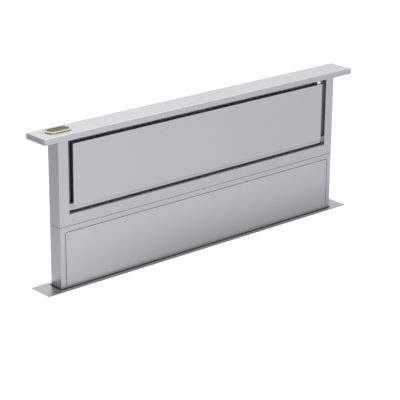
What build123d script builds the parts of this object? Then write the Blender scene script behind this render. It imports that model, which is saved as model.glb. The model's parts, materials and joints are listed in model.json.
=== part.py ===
from build123d import *
import math
import os

# Telescopic downdraft vent, raised. Millimetres, +Z up, front towards -Y.
# The origin is on the floor of the cabinet, at the middle of the footprint.
# Inside this file y = 0 is the column's middle plane; every piece is shifted at the end.

# ---------------------------------------------------------------- size class: the cap's length
cap_length = 914.0

# ---------------------------------------------------------------- column above the worktop
rise_height = 349.5            # trim plate top to cap top, raised
cap_overhang = 45.0            # cap past the column at each end
column_depth = 37.2
column_sheet = 1.2
column_bend = 1.0              # outer radius at the column's corners
seam_height = 140.3            # trim plate top to the seam
seam_gap = 1.2

# ---------------------------------------------------------------- cap
cap_depth = 69.2
cap_thickness = 13.3
cap_sheet = 1.5
cap_edge = 0.8                 # rounding of the folded edges
cap_base_sheet = 1.2
cap_rest_gap = 0.3             # cap to trim plate, lowered
end_flange_width = 22.0        # head frame's flanges that carry the cap
cap_screw_y = 11.0
badge_length = 62.0
badge_width = 32.0
badge_from_end = 31.0          # cap's left end to the badge
badge_offset_y = 4.0
badge_rim = 4.0
badge_height = 2.6
badge_recess = 0.9
badge_seat_gap = 0.05          # bezel to face

# ---------------------------------------------------------------- opening and access panel
frame_side = 25.5              # column's end to the opening
opening_sill = 166.0           # above the trim plate
opening_top_strip = 3.2        # strip left under the cap
side_return = 12.0             # folds beside the opening
sill_return = 6.5
panel_gap = 12.5               # opening to panel, at each end
panel_depth = 8.0
panel_sheet = 1.0
panel_bottom = 182.0           # above the trim plate, where the face ends
panel_top = 321.5
bevel_drop = 8.3               # lower fold of the panel, down and inwards
bevel_depth = 5.0
hinge_pin_radius = 2.0
hinge_inset = 4.5              # hinge axis behind the panel's face
hinge_block_length = 12.0
hinge_block_height = 14.0
hinge_block_below = 4.0        # block under the hinge axis
catch_width = 9.0
catch_depth = 11.0
catch_overlap = 3.0            # catch plate in front of the panel's return

# ---------------------------------------------------------------- filters
filter_inset = 14.5            # filter front behind the column's front
filter_thickness = 8.0
filter_border = 11.0
filter_split = 1.0             # gap between the two filters
filter_end_space = 24.0        # column's wall to the filters
filter_bottom = 163.0          # above the trim plate
filter_track_sheet = 1.0
filter_track_lip = 6.0
filter_clearance = 0.3
pleat_pitch = 14.0
mesh_sheet = 1.4

# ---------------------------------------------------------------- lower cover and seam collar
cover_inset = 18.6             # column's end to the cover's groove
cover_top = 127.0              # above the trim plate
cover_below = 36.0             # how far it runs down past the trim plate
cover_groove = 0.9
cover_sheet = 1.0
cover_flange = 6.0
collar_sheet = 1.2
collar_up = 12.0
collar_down = 5.0

# ---------------------------------------------------------------- trim plate and seal
trim_inset = 2.0               # cap past the trim plate at each end
trim_step = 0.3                # bearing band lower than the plate's middle
band_gap = 0.5                 # housing to the bearing band
trim_depth = 63.8
trim_sheet = 1.5
slot_gap = 1.2
slot_rim = 7.0                 # turned-down rim of the slot
slot_rim_sheet = 1.0
seal_wall = 1.5
seal_lip_gap = 0.35
seal_height = 6.0

# ---------------------------------------------------------------- housing below the worktop
worktop_height = 690.0         # underside of the trim plate above the feet
worktop_thickness = 38.0
lift_space = 25.0              # column's end to the housing's outer face
housing_depth = 50.0
housing_sheet = 1.0
housing_bend = 2.0
housing_lip = 13.0             # inward flange behind the front wall
housing_floor = 60.0
rib_x = 40.0
rib_length = 480.0
rib_width = 16.0
rib_height = 2.2
rib_levels = (480.0, 560.0)    # above the feet

# ---------------------------------------------------------------- lift
shaft_below = 120.0            # cross shaft under the trim plate, raised
foot_below_shaft = 50.0
shaft_radius = 4.0
rack_module = 2.0
pinion_teeth = 14
pressure_angle = 25.0
tooth_backlash = 0.20
rack_width = 9.0
rack_end = 22.0                # rack past the shaft at each end of the travel
end_gap = 2.0                  # column's end to rack and pinion
gear_module = 1.0
gear_teeth = 24
motor_teeth = 18
gear_width = 10.0
gear_backlash = 0.12
motor_side_x = 150.0
motor_plate = 3.0
gearbox_radius = 15.7
gearbox_length = 38.0
gearmotor_can_radius = 14.5
gearmotor_can_length = 58.0
output_radius = 2.5
bush_wall = 2.0
bush_flange = 1.5
bore_clearance = 0.05
rail_depth = 11.0              # along X, from the housing's end wall
rail_width = 20.0
rail_groove = 8.6
rail_groove_depth = 7.0
rail_top_gap = 14.0            # rail below the trim plate
shoe_base = 3.5
shoe_clearance = 0.3
shoe_half_base = 9.5
shoe_levels = ((24.0, 74.0), (-46.0, -20.0))   # from the cross shaft
shoe_tongue_inset = 2.0
magnet_size = 6.0
magnet_above_shaft = 88.0
sensor_width = 9.5
sensor_depth = 6.5
sensor_height = 26.0

# ---------------------------------------------------------------- blower
wheel_x = -60.0
wheel_z = 262.0
wheel_radius = 100.0
wheel_inner_radius = 82.0
wheel_disc = 1.6
wheel_ring = 1.6
blade_count = 38
blade_sheet = 1.0
blade_lead = 9.0               # outer edge ahead of the inner, degrees
blade_bow = 3.2
wheel_end_gap = 5.0
hub_radius = 14.0
hub_length = 26.0
blower_shaft_radius = 4.0
scroll_depth = 100.0
scroll_sheet = 1.2
scroll_gap = 9.0               # wheel to tongue
scroll_growth = 52.0
tongue_angle = -50.0
outlet_x = 175.0               # from the wheel's axis
outlet_rise = 16.0             # outlet's upper wall climbs this much
nozzle_throat = 72.0
nozzle_flange = 92.0
nozzle_length = 14.0           # reaches into the wheel's eye
motor_radius = 45.0
motor_length = 58.0
motor_flange_radius = 56.0
motor_flange = 2.0
motor_boss_radius = 24.0

# ---------------------------------------------------------------- duct
transition_length = 80.0
collar_radius = 74.8
collar_wall = 0.9
collar_length = 62.0
collar_bead = 2.2
collar_wall_gap = 2.5          # bead to the housing's front wall
flap_thickness = 0.9
flap_gap = 0.5
flap_pin_radius = 1.5
flap_pin_inset = 14.0
knuckle_wall = 1.3
stop_height = 3.0

# ---------------------------------------------------------------- box, brackets, legs, screws
junction_width = 120.0
junction_height = 100.0
junction_depth = 45.0
junction_sheet = 1.2
junction_x = -320.0
junction_z = 450.0
entry_radius = 11.0
bracket_x = 330.0
bracket_width = 54.0
bracket_drop = 62.0
bracket_reach = 36.0
bracket_sheet = 2.0
bracket_hole_radius = 2.75
bracket_hole_spacing = 30.0
leg_sheet = 2.5
leg_height = 210.0
leg_reach = 150.0              # feet in front of the column's middle plane
leg_foot = 32.0
leg_hole_radius = 3.0
leg_hole_spacing = 120.0
leg_slot_length = 50.0
leg_slot_z = 140.0
leg_screw_y = 12.0
screw_radius = 2.0
screw_head_radius = 3.8
screw_head = 2.4
hole_clearance = 0.25

# ---------------------------------------------------------------- levels and planes that follow
column_width = cap_length - 2 * cap_overhang
opening_width = column_width - 2 * frame_side
panel_width = opening_width - 2 * panel_gap
cover_width = column_width - 2 * cover_inset
trim_length = cap_length - 2 * trim_inset
housing_width = column_width + 2 * lift_space
plate_bottom = worktop_height
plate_top = plate_bottom + trim_sheet
housing_top = plate_bottom + trim_step
cap_top = plate_top + rise_height
cap_bottom = cap_top - cap_thickness
seam_z = plate_top + seam_height
shaft_z = plate_bottom - shaft_below
foot_z = shaft_z - foot_below_shaft
lift_travel = cap_bottom - plate_top - cap_rest_gap
half_width = column_width / 2
half_depth = column_depth / 2
front_y = -half_depth
back_y = half_depth
inner_half_width = half_width - column_sheet
inner_front_y = front_y + column_sheet
inner_back_y = back_y - column_sheet
housing_half = housing_width / 2
housing_front_y = -housing_depth / 2
housing_back_y = housing_depth / 2
inner_end_x = housing_half - housing_sheet
inner_rear_y = housing_back_y - housing_sheet
sill_z = plate_top + opening_sill
opening_half = opening_width / 2
opening_top = cap_bottom - opening_top_strip
panel_half = panel_width / 2
hinge_y = front_y + hinge_inset
hinge_z = plate_top + panel_bottom
pinion_radius = rack_module * pinion_teeth / 2
scroll_front_y = housing_front_y - scroll_depth
motor_front_y = scroll_front_y - motor_length
column_y = (-motor_front_y - cap_depth / 2) / 2


def block(x0, x1, y0, y1, z0, z1):
    """Rectangular block between two corners."""
    size = Box(abs(x1 - x0), abs(y1 - y0), abs(z1 - z0))
    return Pos((x0 + x1) / 2, (y0 + y1) / 2, (z0 + z1) / 2) * size


def rod(x, y, z, radius, length, axis):
    """Round bar that starts at a point and runs along +X, +Y or +Z."""
    planes = {
        "x": Plane(origin=(x, y, z), z_dir=(1, 0, 0)),
        "y": Plane(origin=(x, y, z), z_dir=(0, 1, 0)),
        "z": Plane(origin=(x, y, z), z_dir=(0, 0, 1)),
    }
    return extrude(planes[axis] * Circle(radius), amount=length)


def mirrored(shape):
    """The same piece at the other end of the column."""
    return mirror(shape, about=Plane.YZ)


def sheet_tube(width, depth, z0, z1, sheet, bend):
    """Open-ended rectangular sheet tube with rounded corners, standing on z0."""
    outline = RectangleRounded(width, depth, bend)
    hollow = RectangleRounded(width - 2 * sheet, depth - 2 * sheet, max(bend - sheet, 0.2))
    return extrude(Pos(0, 0, z0) * (outline - hollow), amount=z1 - z0)


def section_along_x(points, x0, x1):
    """Prism along X with a (y, z) outline."""
    face = make_face(Polyline(*[(x0, y, z) for y, z in points], close=True))
    return extrude(face, amount=x1 - x0, dir=(1, 0, 0))


def pan_screw(x, y, z, direction, length):
    """Pan head screw: the head's underside at the point, the shank along the direction."""
    plane = Plane(origin=(x, y, z), z_dir=direction)
    head = extrude(plane * Circle(screw_head_radius), amount=-screw_head)
    head = chamfer(head.faces().sort_by(lambda face: face.center().dot(Vector(*direction)))[0].edges(), 0.9)
    shank = extrude(plane * Circle(screw_radius), amount=length)
    return head + shank


def group(shapes):
    """Several separate solids in one node."""
    solids = [solid for shape in shapes for solid in shape.solids()]
    return Compound(children=solids)


# ---------------------------------------------------------------- gears
def involute(angle):
    return math.tan(angle) - angle


def tooth_half_angle(radius, module, teeth, backlash):
    """Half the angle that a tooth fills at a radius outside the base circle."""
    pitch = module * teeth / 2
    alpha = math.radians(pressure_angle)
    base = pitch * math.cos(alpha)
    at_pitch = math.pi / (2 * teeth) - backlash / (4 * pitch)
    local = math.acos(min(1.0, base / radius))
    return at_pitch + involute(alpha) - involute(local)


def gear_outline(module, teeth, backlash, first_angle):
    """Spur gear outline: each flank is a radial foot and an arc through three involute points."""
    pitch = module * teeth / 2
    base = pitch * math.cos(math.radians(pressure_angle))
    root = pitch - 1.25 * module
    tip = pitch + module
    start = max(base, root) + 0.02

    def at(radius, angle):
        return (radius * math.cos(angle), radius * math.sin(angle))

    edges = []
    step = 2 * math.pi / teeth
    flank = [start, (start + tip) / 2, tip]
    half = [tooth_half_angle(radius, module, teeth, backlash) for radius in flank]
    for index in range(teeth):
        middle = first_angle + index * step
        up = [at(radius, middle - angle) for radius, angle in zip(flank, half)]
        down = [at(radius, middle + angle) for radius, angle in zip(flank, half)]
        foot_in = at(root, middle - half[0])
        foot_out = at(root, middle + half[0])
        next_foot = at(root, middle + step - half[0])
        edges += [
            Line(foot_in, up[0]),
            ThreePointArc(*up),
            Line(up[2], down[2]),
            ThreePointArc(*reversed(down)),
            Line(down[0], foot_out),
            Line(foot_out, next_foot),
        ]
    return make_face(edges)


def gear_on_shaft(x, z, module, teeth, backlash, first_angle, width, bore):
    """Spur gear with its axis along X. Angle 0 points along +Y and 90 degrees up."""
    plane = Plane(origin=(x, 0, z), x_dir=(0, 1, 0), z_dir=(1, 0, 0))
    outline = gear_outline(module, teeth, backlash, math.radians(first_angle))
    if bore:
        outline -= Circle(bore)
    return extrude(plane * outline, amount=width)


def make_rack():
    """Straight rack behind the right-hand pinion, with a gap between teeth at the shaft's height."""
    pitch = math.pi * rack_module
    slope = math.tan(math.radians(pressure_angle))
    root_y = pinion_radius + 1.25 * rack_module
    tip_y = pinion_radius - rack_module
    half_pitch_width = pitch / 4 - tooth_backlash / 4
    half_root = half_pitch_width + 1.25 * rack_module * slope
    half_tip = half_pitch_width - rack_module * slope
    below = math.ceil((lift_travel + rack_end) / pitch)
    above = math.ceil(rack_end / pitch)
    low = shaft_z - below * pitch
    high = shaft_z + above * pitch
    points = [(inner_rear_y, low), (root_y, low)]
    for index in range(below + above):
        middle = low + (index + 0.5) * pitch
        points += [
            (root_y, middle - half_root),
            (tip_y, middle - half_tip),
            (tip_y, middle + half_tip),
            (root_y, middle + half_root),
        ]
    points += [(root_y, high), (inner_rear_y, high)]
    start = half_width + end_gap
    return section_along_x(points, start, start + rack_width)


# ---------------------------------------------------------------- cap
def make_cap_lid():
    outer = block(-cap_length / 2, cap_length / 2, -cap_depth / 2, cap_depth / 2, cap_bottom, cap_top)
    corners = outer.edges().filter_by(Axis.Z)
    rims = outer.faces().sort_by(Axis.Z)[-1].edges()
    outer = fillet(corners + rims, cap_edge)
    hollow = block(
        -cap_length / 2 + cap_sheet, cap_length / 2 - cap_sheet,
        -cap_depth / 2 + cap_sheet, cap_depth / 2 - cap_sheet,
        cap_bottom, cap_top - cap_sheet,
    )
    return outer - hollow


def make_cap_base():
    """Tray that closes the lid from below, with flanges up to the lid's underside."""
    inset = cap_sheet + 0.3
    half_x = cap_length / 2 - inset
    half_y = cap_depth / 2 - inset
    tray = block(-half_x, half_x, -half_y, half_y, cap_bottom, cap_top - cap_sheet)
    hollow = block(
        -half_x + cap_base_sheet, half_x - cap_base_sheet,
        -half_y + cap_base_sheet, half_y - cap_base_sheet,
        cap_bottom + cap_base_sheet, cap_top,
    )
    for x, y in cap_screw_places():
        hollow += rod(x, y, cap_bottom - 1, screw_radius + hole_clearance, 4, "z")
    return tray - hollow


def cap_screw_places():
    x = inner_half_width - end_flange_width / 2
    return [(sx * x, y) for sx in (-1, 1) for y in (-cap_screw_y, cap_screw_y)]


def badge_centre_x():
    return -cap_length / 2 + badge_from_end + badge_length / 2


def make_badge_bezel():
    """Blank oval plate on the cap: a raised rim with rounded ends."""
    base = Pos(badge_centre_x(), badge_offset_y, cap_top)
    outer = extrude(base * SlotOverall(badge_length, badge_width), amount=badge_height)
    outer = fillet(outer.faces().sort_by(Axis.Z)[-1].edges(), 0.9)
    inner = SlotOverall(badge_length - 2 * badge_rim, badge_width - 2 * badge_rim)
    return outer - extrude(base * inner, amount=badge_height)


def make_badge_face():
    base = Pos(badge_centre_x(), badge_offset_y, cap_top)
    border = badge_rim + badge_seat_gap
    inner = SlotOverall(badge_length - 2 * border, badge_width - 2 * border)
    return extrude(base * inner, amount=badge_height - badge_recess)


# ---------------------------------------------------------------- head of the column
def make_head_frame():
    tube = sheet_tube(
        column_width, column_depth, seam_z + seam_gap / 2, cap_bottom, column_sheet, column_bend,
    )
    opening = block(-opening_half, opening_half, front_y - 1, inner_front_y + 0.5, sill_z, opening_top)
    shell = tube - opening
    flank = block(
        opening_half, opening_half + column_sheet,
        front_y + column_sheet, front_y + side_return, sill_z, opening_top,
    )
    fold_end = opening_half + column_sheet
    sill = block(
        -fold_end, fold_end,
        front_y + column_sheet, front_y + sill_return, sill_z - column_sheet, sill_z,
    )
    lintel = block(
        -fold_end, fold_end,
        front_y + column_sheet, front_y + sill_return, opening_top, opening_top + column_sheet,
    )
    shell += [flank, mirrored(flank), sill, lintel]
    end_flange = block(
        inner_half_width - end_flange_width, inner_half_width, inner_front_y, inner_back_y,
        cap_bottom - column_sheet, cap_bottom,
    )
    shell += [end_flange, mirrored(end_flange)]
    back_flange = block(
        -inner_half_width, inner_half_width, inner_back_y - 8, inner_back_y,
        cap_bottom - column_sheet, cap_bottom,
    )
    shell += back_flange
    for x, y in cap_screw_places():
        shell -= rod(x, y, cap_bottom - 3, screw_radius + hole_clearance, 5, "z")
    return shell


def make_access_panel():
    """Folded pan: flat face, returns at the top and sides, and a fold that leans in at the bottom."""
    top_z = plate_top + panel_top
    section = [
        (front_y, hinge_z),
        (front_y, top_z),
        (front_y + panel_depth, top_z),
        (front_y + panel_depth, hinge_z - bevel_drop),
        (front_y + bevel_depth, hinge_z - bevel_drop),
    ]
    solid = section_along_x(section, -panel_half, panel_half)
    edges = solid.edges().filter_by(Axis.Z).sort_by(Axis.Y)[:2]
    edges += solid.edges().filter_by(Axis.X).group_by(Axis.Z)[-1].sort_by(Axis.Y)[:1]
    solid = fillet(edges, 0.8)
    open_faces = [solid.faces().sort_by(Axis.Y)[-1], solid.faces().sort_by(Axis.Z)[0]]
    pan = offset(solid, amount=-panel_sheet, openings=open_faces)
    bore = rod(-panel_half - 1, hinge_y, hinge_z, hinge_pin_radius + bore_clearance, panel_width + 2, "x")
    return pan - bore


def make_panel_hinge_blocks():
    """Blocks inside the pan's bottom corners, bored for the hinge pins."""
    outer_x = panel_half - panel_sheet
    low = hinge_z - hinge_block_below
    high = low + hinge_block_height
    y0 = front_y + panel_sheet
    y1 = front_y + panel_depth - 0.3
    slant = bevel_depth / bevel_drop
    bevel_offset = panel_sheet * math.hypot(1.0, slant)
    bevel_start = (bevel_offset - panel_sheet) / slant

    section = [
        (y0, high), (y0, hinge_z + bevel_start), (front_y + bevel_offset + hinge_block_below * slant, low),
        (y1, low), (y1, high),
    ]
    piece = section_along_x(section, outer_x - hinge_block_length, outer_x)
    bore = rod(outer_x - 60, hinge_y, hinge_z, hinge_pin_radius + bore_clearance, 80, "x")
    piece -= bore
    return group([piece, mirrored(piece)])


def make_panel_stiffener():
    """Hat rib along the inside of the panel's face."""
    z = (hinge_z + plate_top + panel_top) / 2
    y0 = front_y + panel_sheet
    section = [
        (y0, z - 20), (y0 + 0.8, z - 20), (y0 + 0.8, z - 9), (y0 + 4.8, z - 6), (y0 + 4.8, z + 6),
        (y0 + 0.8, z + 9), (y0 + 0.8, z + 20), (y0, z + 20), (y0, z + 8.6), (y0 + 4.0, z + 5.4),
        (y0 + 4.0, z - 5.4), (y0, z - 8.6),
    ]
    return section_along_x(section, -panel_half + 30, panel_half - 30)


def make_hinge_bracket():
    """Right-hand bracket in the gap beside the panel, with its hinge pin."""
    inner_x = panel_half + 0.5
    body = block(
        inner_x, opening_half, front_y + 0.8, front_y + 9.0,
        hinge_z - 7.5, hinge_z + 7.5,
    )
    body = fillet(body.edges().filter_by(Axis.X), 1.2)
    pin = rod(panel_half - panel_sheet - 10, hinge_y, hinge_z, hinge_pin_radius, 16, "x")
    return body + pin


def make_panel_catch():
    """Catch at the right end of the opening's lintel, behind the panel's upper return."""
    x1 = panel_half - 1.5
    x0 = x1 - catch_width
    top_z = plate_top + panel_top
    plate = block(x0, x1, front_y + 1.0, front_y + 1.0 + catch_depth, top_z + 1.0, opening_top)
    hook = block(
        x0, x1, front_y + panel_depth + 0.6, front_y + 1.0 + catch_depth,
        top_z - catch_overlap, top_z + 1.0,
    )
    return plate + hook


def make_filter_track(upper):
    """Channel along X that holds the filters' edge; the lower one opens upwards."""
    y0 = front_y + filter_inset - filter_clearance - filter_track_sheet
    y1 = front_y + filter_inset + filter_thickness + filter_clearance + filter_track_sheet
    if upper:
        web0, web1 = cap_bottom - column_sheet - filter_track_sheet, cap_bottom - column_sheet
        lip0, lip1 = web0 - filter_track_lip, web0
    else:
        web1 = plate_top + filter_bottom - filter_clearance
        web0 = web1 - filter_track_sheet
        lip0, lip1 = web1, web1 + filter_track_lip
    half = inner_half_width
    track = block(-half, half, y0, y1, web0, web1)
    track += block(-half, half, y0, y0 + filter_track_sheet, lip0, lip1)
    track += block(-half, half, y1 - filter_track_sheet, y1, lip0, lip1)
    return track


def filter_extent():
    """Left filter's x and z limits."""
    x0 = -inner_half_width + filter_end_space
    x1 = -filter_split / 2
    z0 = plate_top + filter_bottom
    z1 = cap_bottom - column_sheet - filter_track_sheet - filter_clearance
    return x0, x1, z0, z1


def make_filter_frame():
    """Left filter's channel frame with a pull ring slot in its front lip."""
    x0, x1, z0, z1 = filter_extent()
    y0 = front_y + filter_inset
    y1 = y0 + filter_thickness
    frame = block(x0, x1, y0, y1, z0, z1)
    b = filter_border
    window = block(x0 + b, x1 - b, y0 - 1, y1 + 1, z0 + b, z1 - b)
    groove = block(x0 + 1, x1 - 1, y0 + 1, y1 - 1, z0 + 1, z1 - 1)
    return frame - window - groove


def make_filter_mesh():
    """Left filter's pleated pad: a zigzag sheet with its edges inside the frame."""
    x0, x1, z0, z1 = filter_extent()
    y_mid = front_y + filter_inset + filter_thickness / 2
    reach = filter_thickness / 2 - 1.2
    edge = 2.0
    pleats = int((x1 - x0 - 2 * edge) // pleat_pitch)
    pitch = (x1 - x0 - 2 * edge) / pleats
    half_sheet = mesh_sheet / 2
    crest = reach - half_sheet
    front = []
    back = []
    for index in range(2 * pleats + 1):
        x = x0 + edge + index * pitch / 2
        y = y_mid + (crest if index % 2 else -crest)
        front.append((x, y - half_sheet))
        back.append((x, y + half_sheet))
    outline = make_face(Polyline(*front, *reversed(back), close=True))
    return extrude(Pos(0, 0, z0 + edge) * outline, amount=z1 - z0 - 2 * edge)


# ---------------------------------------------------------------- body of the column
def make_seam_collar():
    """Sleeve inside both column sections."""
    width = column_width - 2 * column_sheet
    depth = column_depth - 2 * column_sheet
    return sheet_tube(width, depth, seam_z - collar_down, seam_z + collar_up, collar_sheet, 0.6)


def cover_window():
    half = cover_width / 2 + cover_groove
    return half, plate_bottom - cover_below - cover_groove, plate_top + cover_top + cover_groove


def make_column_body():
    tube = sheet_tube(column_width, column_depth, foot_z, seam_z - seam_gap / 2, column_sheet, column_bend)
    half, low, high = cover_window()
    tube -= block(-half, half, front_y - 1, inner_front_y + 0.5, low, high)
    bush_hole = shaft_radius + bush_wall
    tube -= rod(-half_width - 5, 0, shaft_z, bush_hole, column_width + 10, "x")
    vent_low = foot_z + 24.0
    vent_high = plate_bottom - cover_below - 26.0
    for index in range(6):
        x = (index - 2.5) * 128.0
        if abs(x - motor_side_x) > 70.0:
            slot = Pos(x, 0, (vent_low + vent_high) / 2) * Box(96.0, column_depth + 4, vent_high - vent_low)
            tube -= fillet(slot.edges().filter_by(Axis.Y), 8.0)
    return tube


def make_lower_front_cover():
    """Joggled plate: its face stands in the window, its flange lies behind the wall."""
    half, low, high = cover_window()
    g = cover_groove
    face = block(-half + g, half - g, front_y, front_y + column_sheet, low + g, high - g)
    face = chamfer(face.faces().sort_by(Axis.Y)[0].edges(), 0.5)
    f = cover_flange
    flange = block(-half - f, half + f, inner_front_y, inner_front_y + cover_sheet, low - f, high + f)
    return face + flange


def make_shaft_bushes():
    """Flanged bushes in the column's end walls and in the motor bracket."""
    outer = shaft_radius + bush_wall
    bore = shaft_radius + bore_clearance
    x_in = inner_half_width - 3.0
    x_out = half_width + bush_flange
    bush = rod(x_in, 0, shaft_z, outer - 0.02, half_width - x_in, "x")
    bush += rod(half_width, 0, shaft_z, outer + 2.5, bush_flange, "x")
    bush -= rod(x_in - 1, 0, shaft_z, bore, x_out - x_in + 2, "x")
    middle = rod(motor_side_x, 0, shaft_z, outer - 0.02, motor_plate, "x")
    middle += rod(motor_side_x - bush_flange, 0, shaft_z, outer + 2.5, bush_flange, "x")
    middle -= rod(motor_side_x - bush_flange - 1, 0, shaft_z, bore, motor_plate + 6, "x")
    return group([bush, mirrored(bush), middle])


def make_motor_bracket():
    """Plate across the column's foot, folded to a U where it meets the two walls."""
    x0 = motor_side_x
    x1 = x0 + motor_plate
    low = shaft_z - centre_distance() - 18.0
    fold_low = shaft_z + pinion_tip() + 3.0
    high = fold_low + 30.0
    plate = block(x0, x1, inner_front_y + 0.3, inner_back_y - 0.3, low, high)
    fold_back = block(x0, x0 + 34, inner_back_y - motor_plate, inner_back_y, fold_low, high)
    fold_front = block(x0, x0 + 34, inner_front_y, inner_front_y + motor_plate, fold_low, high)
    plate += [fold_back, fold_front]
    plate -= rod(x0 - 1, 0, shaft_z, shaft_radius + bush_wall, motor_plate + 2, "x")
    plate -= rod(x0 - 1, 0, motor_axis_z(), output_radius + 3.0, motor_plate + 2, "x")
    return plate


def pinion_tip():
    return gear_module * (gear_teeth + 2) / 2


def centre_distance():
    return gear_module * (gear_teeth + motor_teeth) / 2


def motor_axis_z():
    return shaft_z - centre_distance()


def make_lift_gearmotor():
    """Round gearbox with the motor can behind it and a bore for the output shaft."""
    x0 = motor_side_x + motor_plate
    z = motor_axis_z()
    body = rod(x0, 0, z, gearbox_radius, gearbox_length, "x")
    body += rod(x0 + gearbox_length, 0, z, gearmotor_can_radius, gearmotor_can_length, "x")
    body += rod(x0 + gearbox_length + gearmotor_can_length, 0, z, 6.0, 4.0, "x")
    body -= rod(x0 - 1, 0, z, output_radius + bore_clearance, 16, "x")
    return body


def make_cross_shaft():
    reach = half_width + end_gap + rack_width
    return rod(-reach, 0, shaft_z, shaft_radius, 2 * reach, "x")


def make_lift_pinion():
    """Right-hand pinion. One tooth points at the rack's gap behind it."""
    x = half_width + end_gap
    bore = shaft_radius + 0.02
    return gear_on_shaft(x, shaft_z, rack_module, pinion_teeth, tooth_backlash, 0.0, rack_width, bore)


def make_drive_gear():
    """Gear on the cross shaft. One tooth points down at the motor pinion's gap."""
    x = motor_side_x - 4.0 - gear_width
    bore = shaft_radius + 0.02
    gear = gear_on_shaft(x, shaft_z, gear_module, gear_teeth, gear_backlash, -90.0, gear_width, bore)
    hub = rod(x - 6.0, 0, shaft_z, 8.0, 6.0, "x") - rod(x - 7.0, 0, shaft_z, bore, 8.0, "x")
    return gear + hub


def make_motor_pinion():
    """Pinion and its output shaft in one piece."""
    x = motor_side_x - 4.0 - gear_width
    half_step = 180.0 / motor_teeth
    teeth = gear_on_shaft(
        x, motor_axis_z(), gear_module, motor_teeth, gear_backlash, 90.0 + half_step, gear_width, 0,
    )
    stub = rod(x, 0, motor_axis_z(), output_radius, gear_width + 4.0 + motor_plate + 12.0, "x")
    return teeth + stub


def make_slide_shoes():
    """Two shoes at each end of the column, each with a tongue in the guide rail's groove."""
    groove_floor_x = inner_end_x - rail_depth + rail_groove_depth
    tip_x = groove_floor_x - shoe_clearance - 0.2
    half_tongue = rail_groove / 2 - shoe_clearance
    pieces = []
    for low, high in shoe_levels:
        shoe = block(
            half_width, half_width + shoe_base, -shoe_half_base, shoe_half_base,
            shaft_z + low, shaft_z + high,
        )
        tongue = block(
            half_width, tip_x, -half_tongue, half_tongue,
            shaft_z + low + shoe_tongue_inset, shaft_z + high - shoe_tongue_inset,
        )
        shoe += tongue
        pieces += [shoe, mirrored(shoe)]
    return group(pieces)


def make_guide_rail():
    """Right-hand rail: an extrusion with a groove towards the column and relief slots behind."""
    x1 = inner_end_x
    x0 = x1 - rail_depth
    low = shaft_z - lift_travel - 56.0
    high = plate_bottom - rail_top_gap
    w = rail_width / 2
    g = rail_groove / 2
    d = rail_groove_depth
    outline = [
        (x0, -w), (x1, -w), (x1, -w + 3.0), (x1 - 1.5, -w + 4.0), (x1 - 1.5, w - 4.0), (x1, w - 3.0),
        (x1, w), (x0, w), (x0, g), (x0 + d, g), (x0 + d, -g), (x0, -g),
    ]
    face = make_face(Polyline(*outline, close=True))
    return extrude(Pos(0, 0, low) * face, amount=high - low)


def make_position_magnet():
    """Magnet on the right end of the column."""
    z = shaft_z + magnet_above_shaft
    s = magnet_size
    return block(half_width, half_width + s, -s - 8.0, -8.0 - 0.5, z - s / 2, z + s / 2)


def make_position_sensors():
    """Sensors on the housing's front wall at the magnet's two end positions."""
    x0 = half_width + end_gap
    pieces = []
    for drop in (0.0, lift_travel):
        z = shaft_z + magnet_above_shaft - drop
        pieces.append(block(
            x0, x0 + sensor_width, housing_front_y + housing_sheet,
            housing_front_y + housing_sheet + sensor_depth, z - sensor_height / 2, z + sensor_height / 2,
        ))
    return group(pieces)


# ---------------------------------------------------------------- worktop trim and housing
def make_trim_plate():
    """Thin plate with a slot. A band round its underside bears on the worktop."""
    outline = RectangleRounded(trim_length, trim_depth, 1.5)
    plate = extrude(Pos(0, 0, plate_bottom) * outline, amount=trim_sheet)
    middle = Rectangle(housing_width + 2 * band_gap, housing_depth + 2 * band_gap)
    plate -= extrude(Pos(0, 0, plate_bottom) * middle, amount=trim_step)
    slot_w = column_width + 2 * slot_gap
    slot_d = column_depth + 2 * slot_gap
    rim = sheet_tube(
        slot_w + 2 * slot_rim_sheet, slot_d + 2 * slot_rim_sheet,
        plate_bottom - slot_rim, plate_bottom + trim_step, slot_rim_sheet, 2.0,
    )
    hole = extrude(Pos(0, 0, plate_bottom - 1) * RectangleRounded(slot_w, slot_d, 1.0), amount=trim_sheet + 2)
    return (plate + rim) - hole


def make_wiper_seal():
    """Rubber channel on the slot's rim; its lip reaches to the column."""
    slot_w = column_width + 2 * slot_gap
    slot_d = column_depth + 2 * slot_gap
    outer_w = slot_w + 2 * (slot_rim_sheet + seal_wall)
    outer_d = slot_d + 2 * (slot_rim_sheet + seal_wall)
    rim_low = plate_bottom - slot_rim
    low = rim_low - 2.5
    outer = extrude(Pos(0, 0, low) * RectangleRounded(outer_w, outer_d, 2.5), amount=seal_height)
    lip_w = column_width + 2 * seal_lip_gap
    lip_d = column_depth + 2 * seal_lip_gap
    inner = extrude(Pos(0, 0, low - 1) * RectangleRounded(lip_w, lip_d, 1.2), amount=3.5)
    above = extrude(
        Pos(0, 0, rim_low) * RectangleRounded(slot_w + 2 * slot_rim_sheet, slot_d + 2 * slot_rim_sheet, 2.0),
        amount=seal_height,
    )
    return outer - inner - above


def make_housing_rear():
    """Folded pan: back wall, end walls, inward lips at the front, and the floor."""
    lip_x = housing_half - housing_lip
    lip_y = housing_front_y + housing_sheet
    path = FilletPolyline(
        (-lip_x, lip_y), (-housing_half, lip_y), (-housing_half, housing_back_y),
        (housing_half, housing_back_y), (housing_half, lip_y), (lip_x, lip_y),
        radius=housing_bend,
    )
    section = make_face(offset(path, amount=housing_sheet, side=Side.RIGHT))
    pan = extrude(Pos(0, 0, housing_floor) * section, amount=housing_top - housing_floor)
    floor = block(
        -housing_half + 0.5, housing_half - 0.5, lip_y, housing_back_y - 0.5,
        housing_floor, housing_floor + housing_sheet,
    )
    pan += floor
    for y, z in leg_screw_places():
        pan -= rod(-housing_half - 1, y, z, screw_radius + hole_clearance, housing_width + 2, "x")
    return pan


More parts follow.
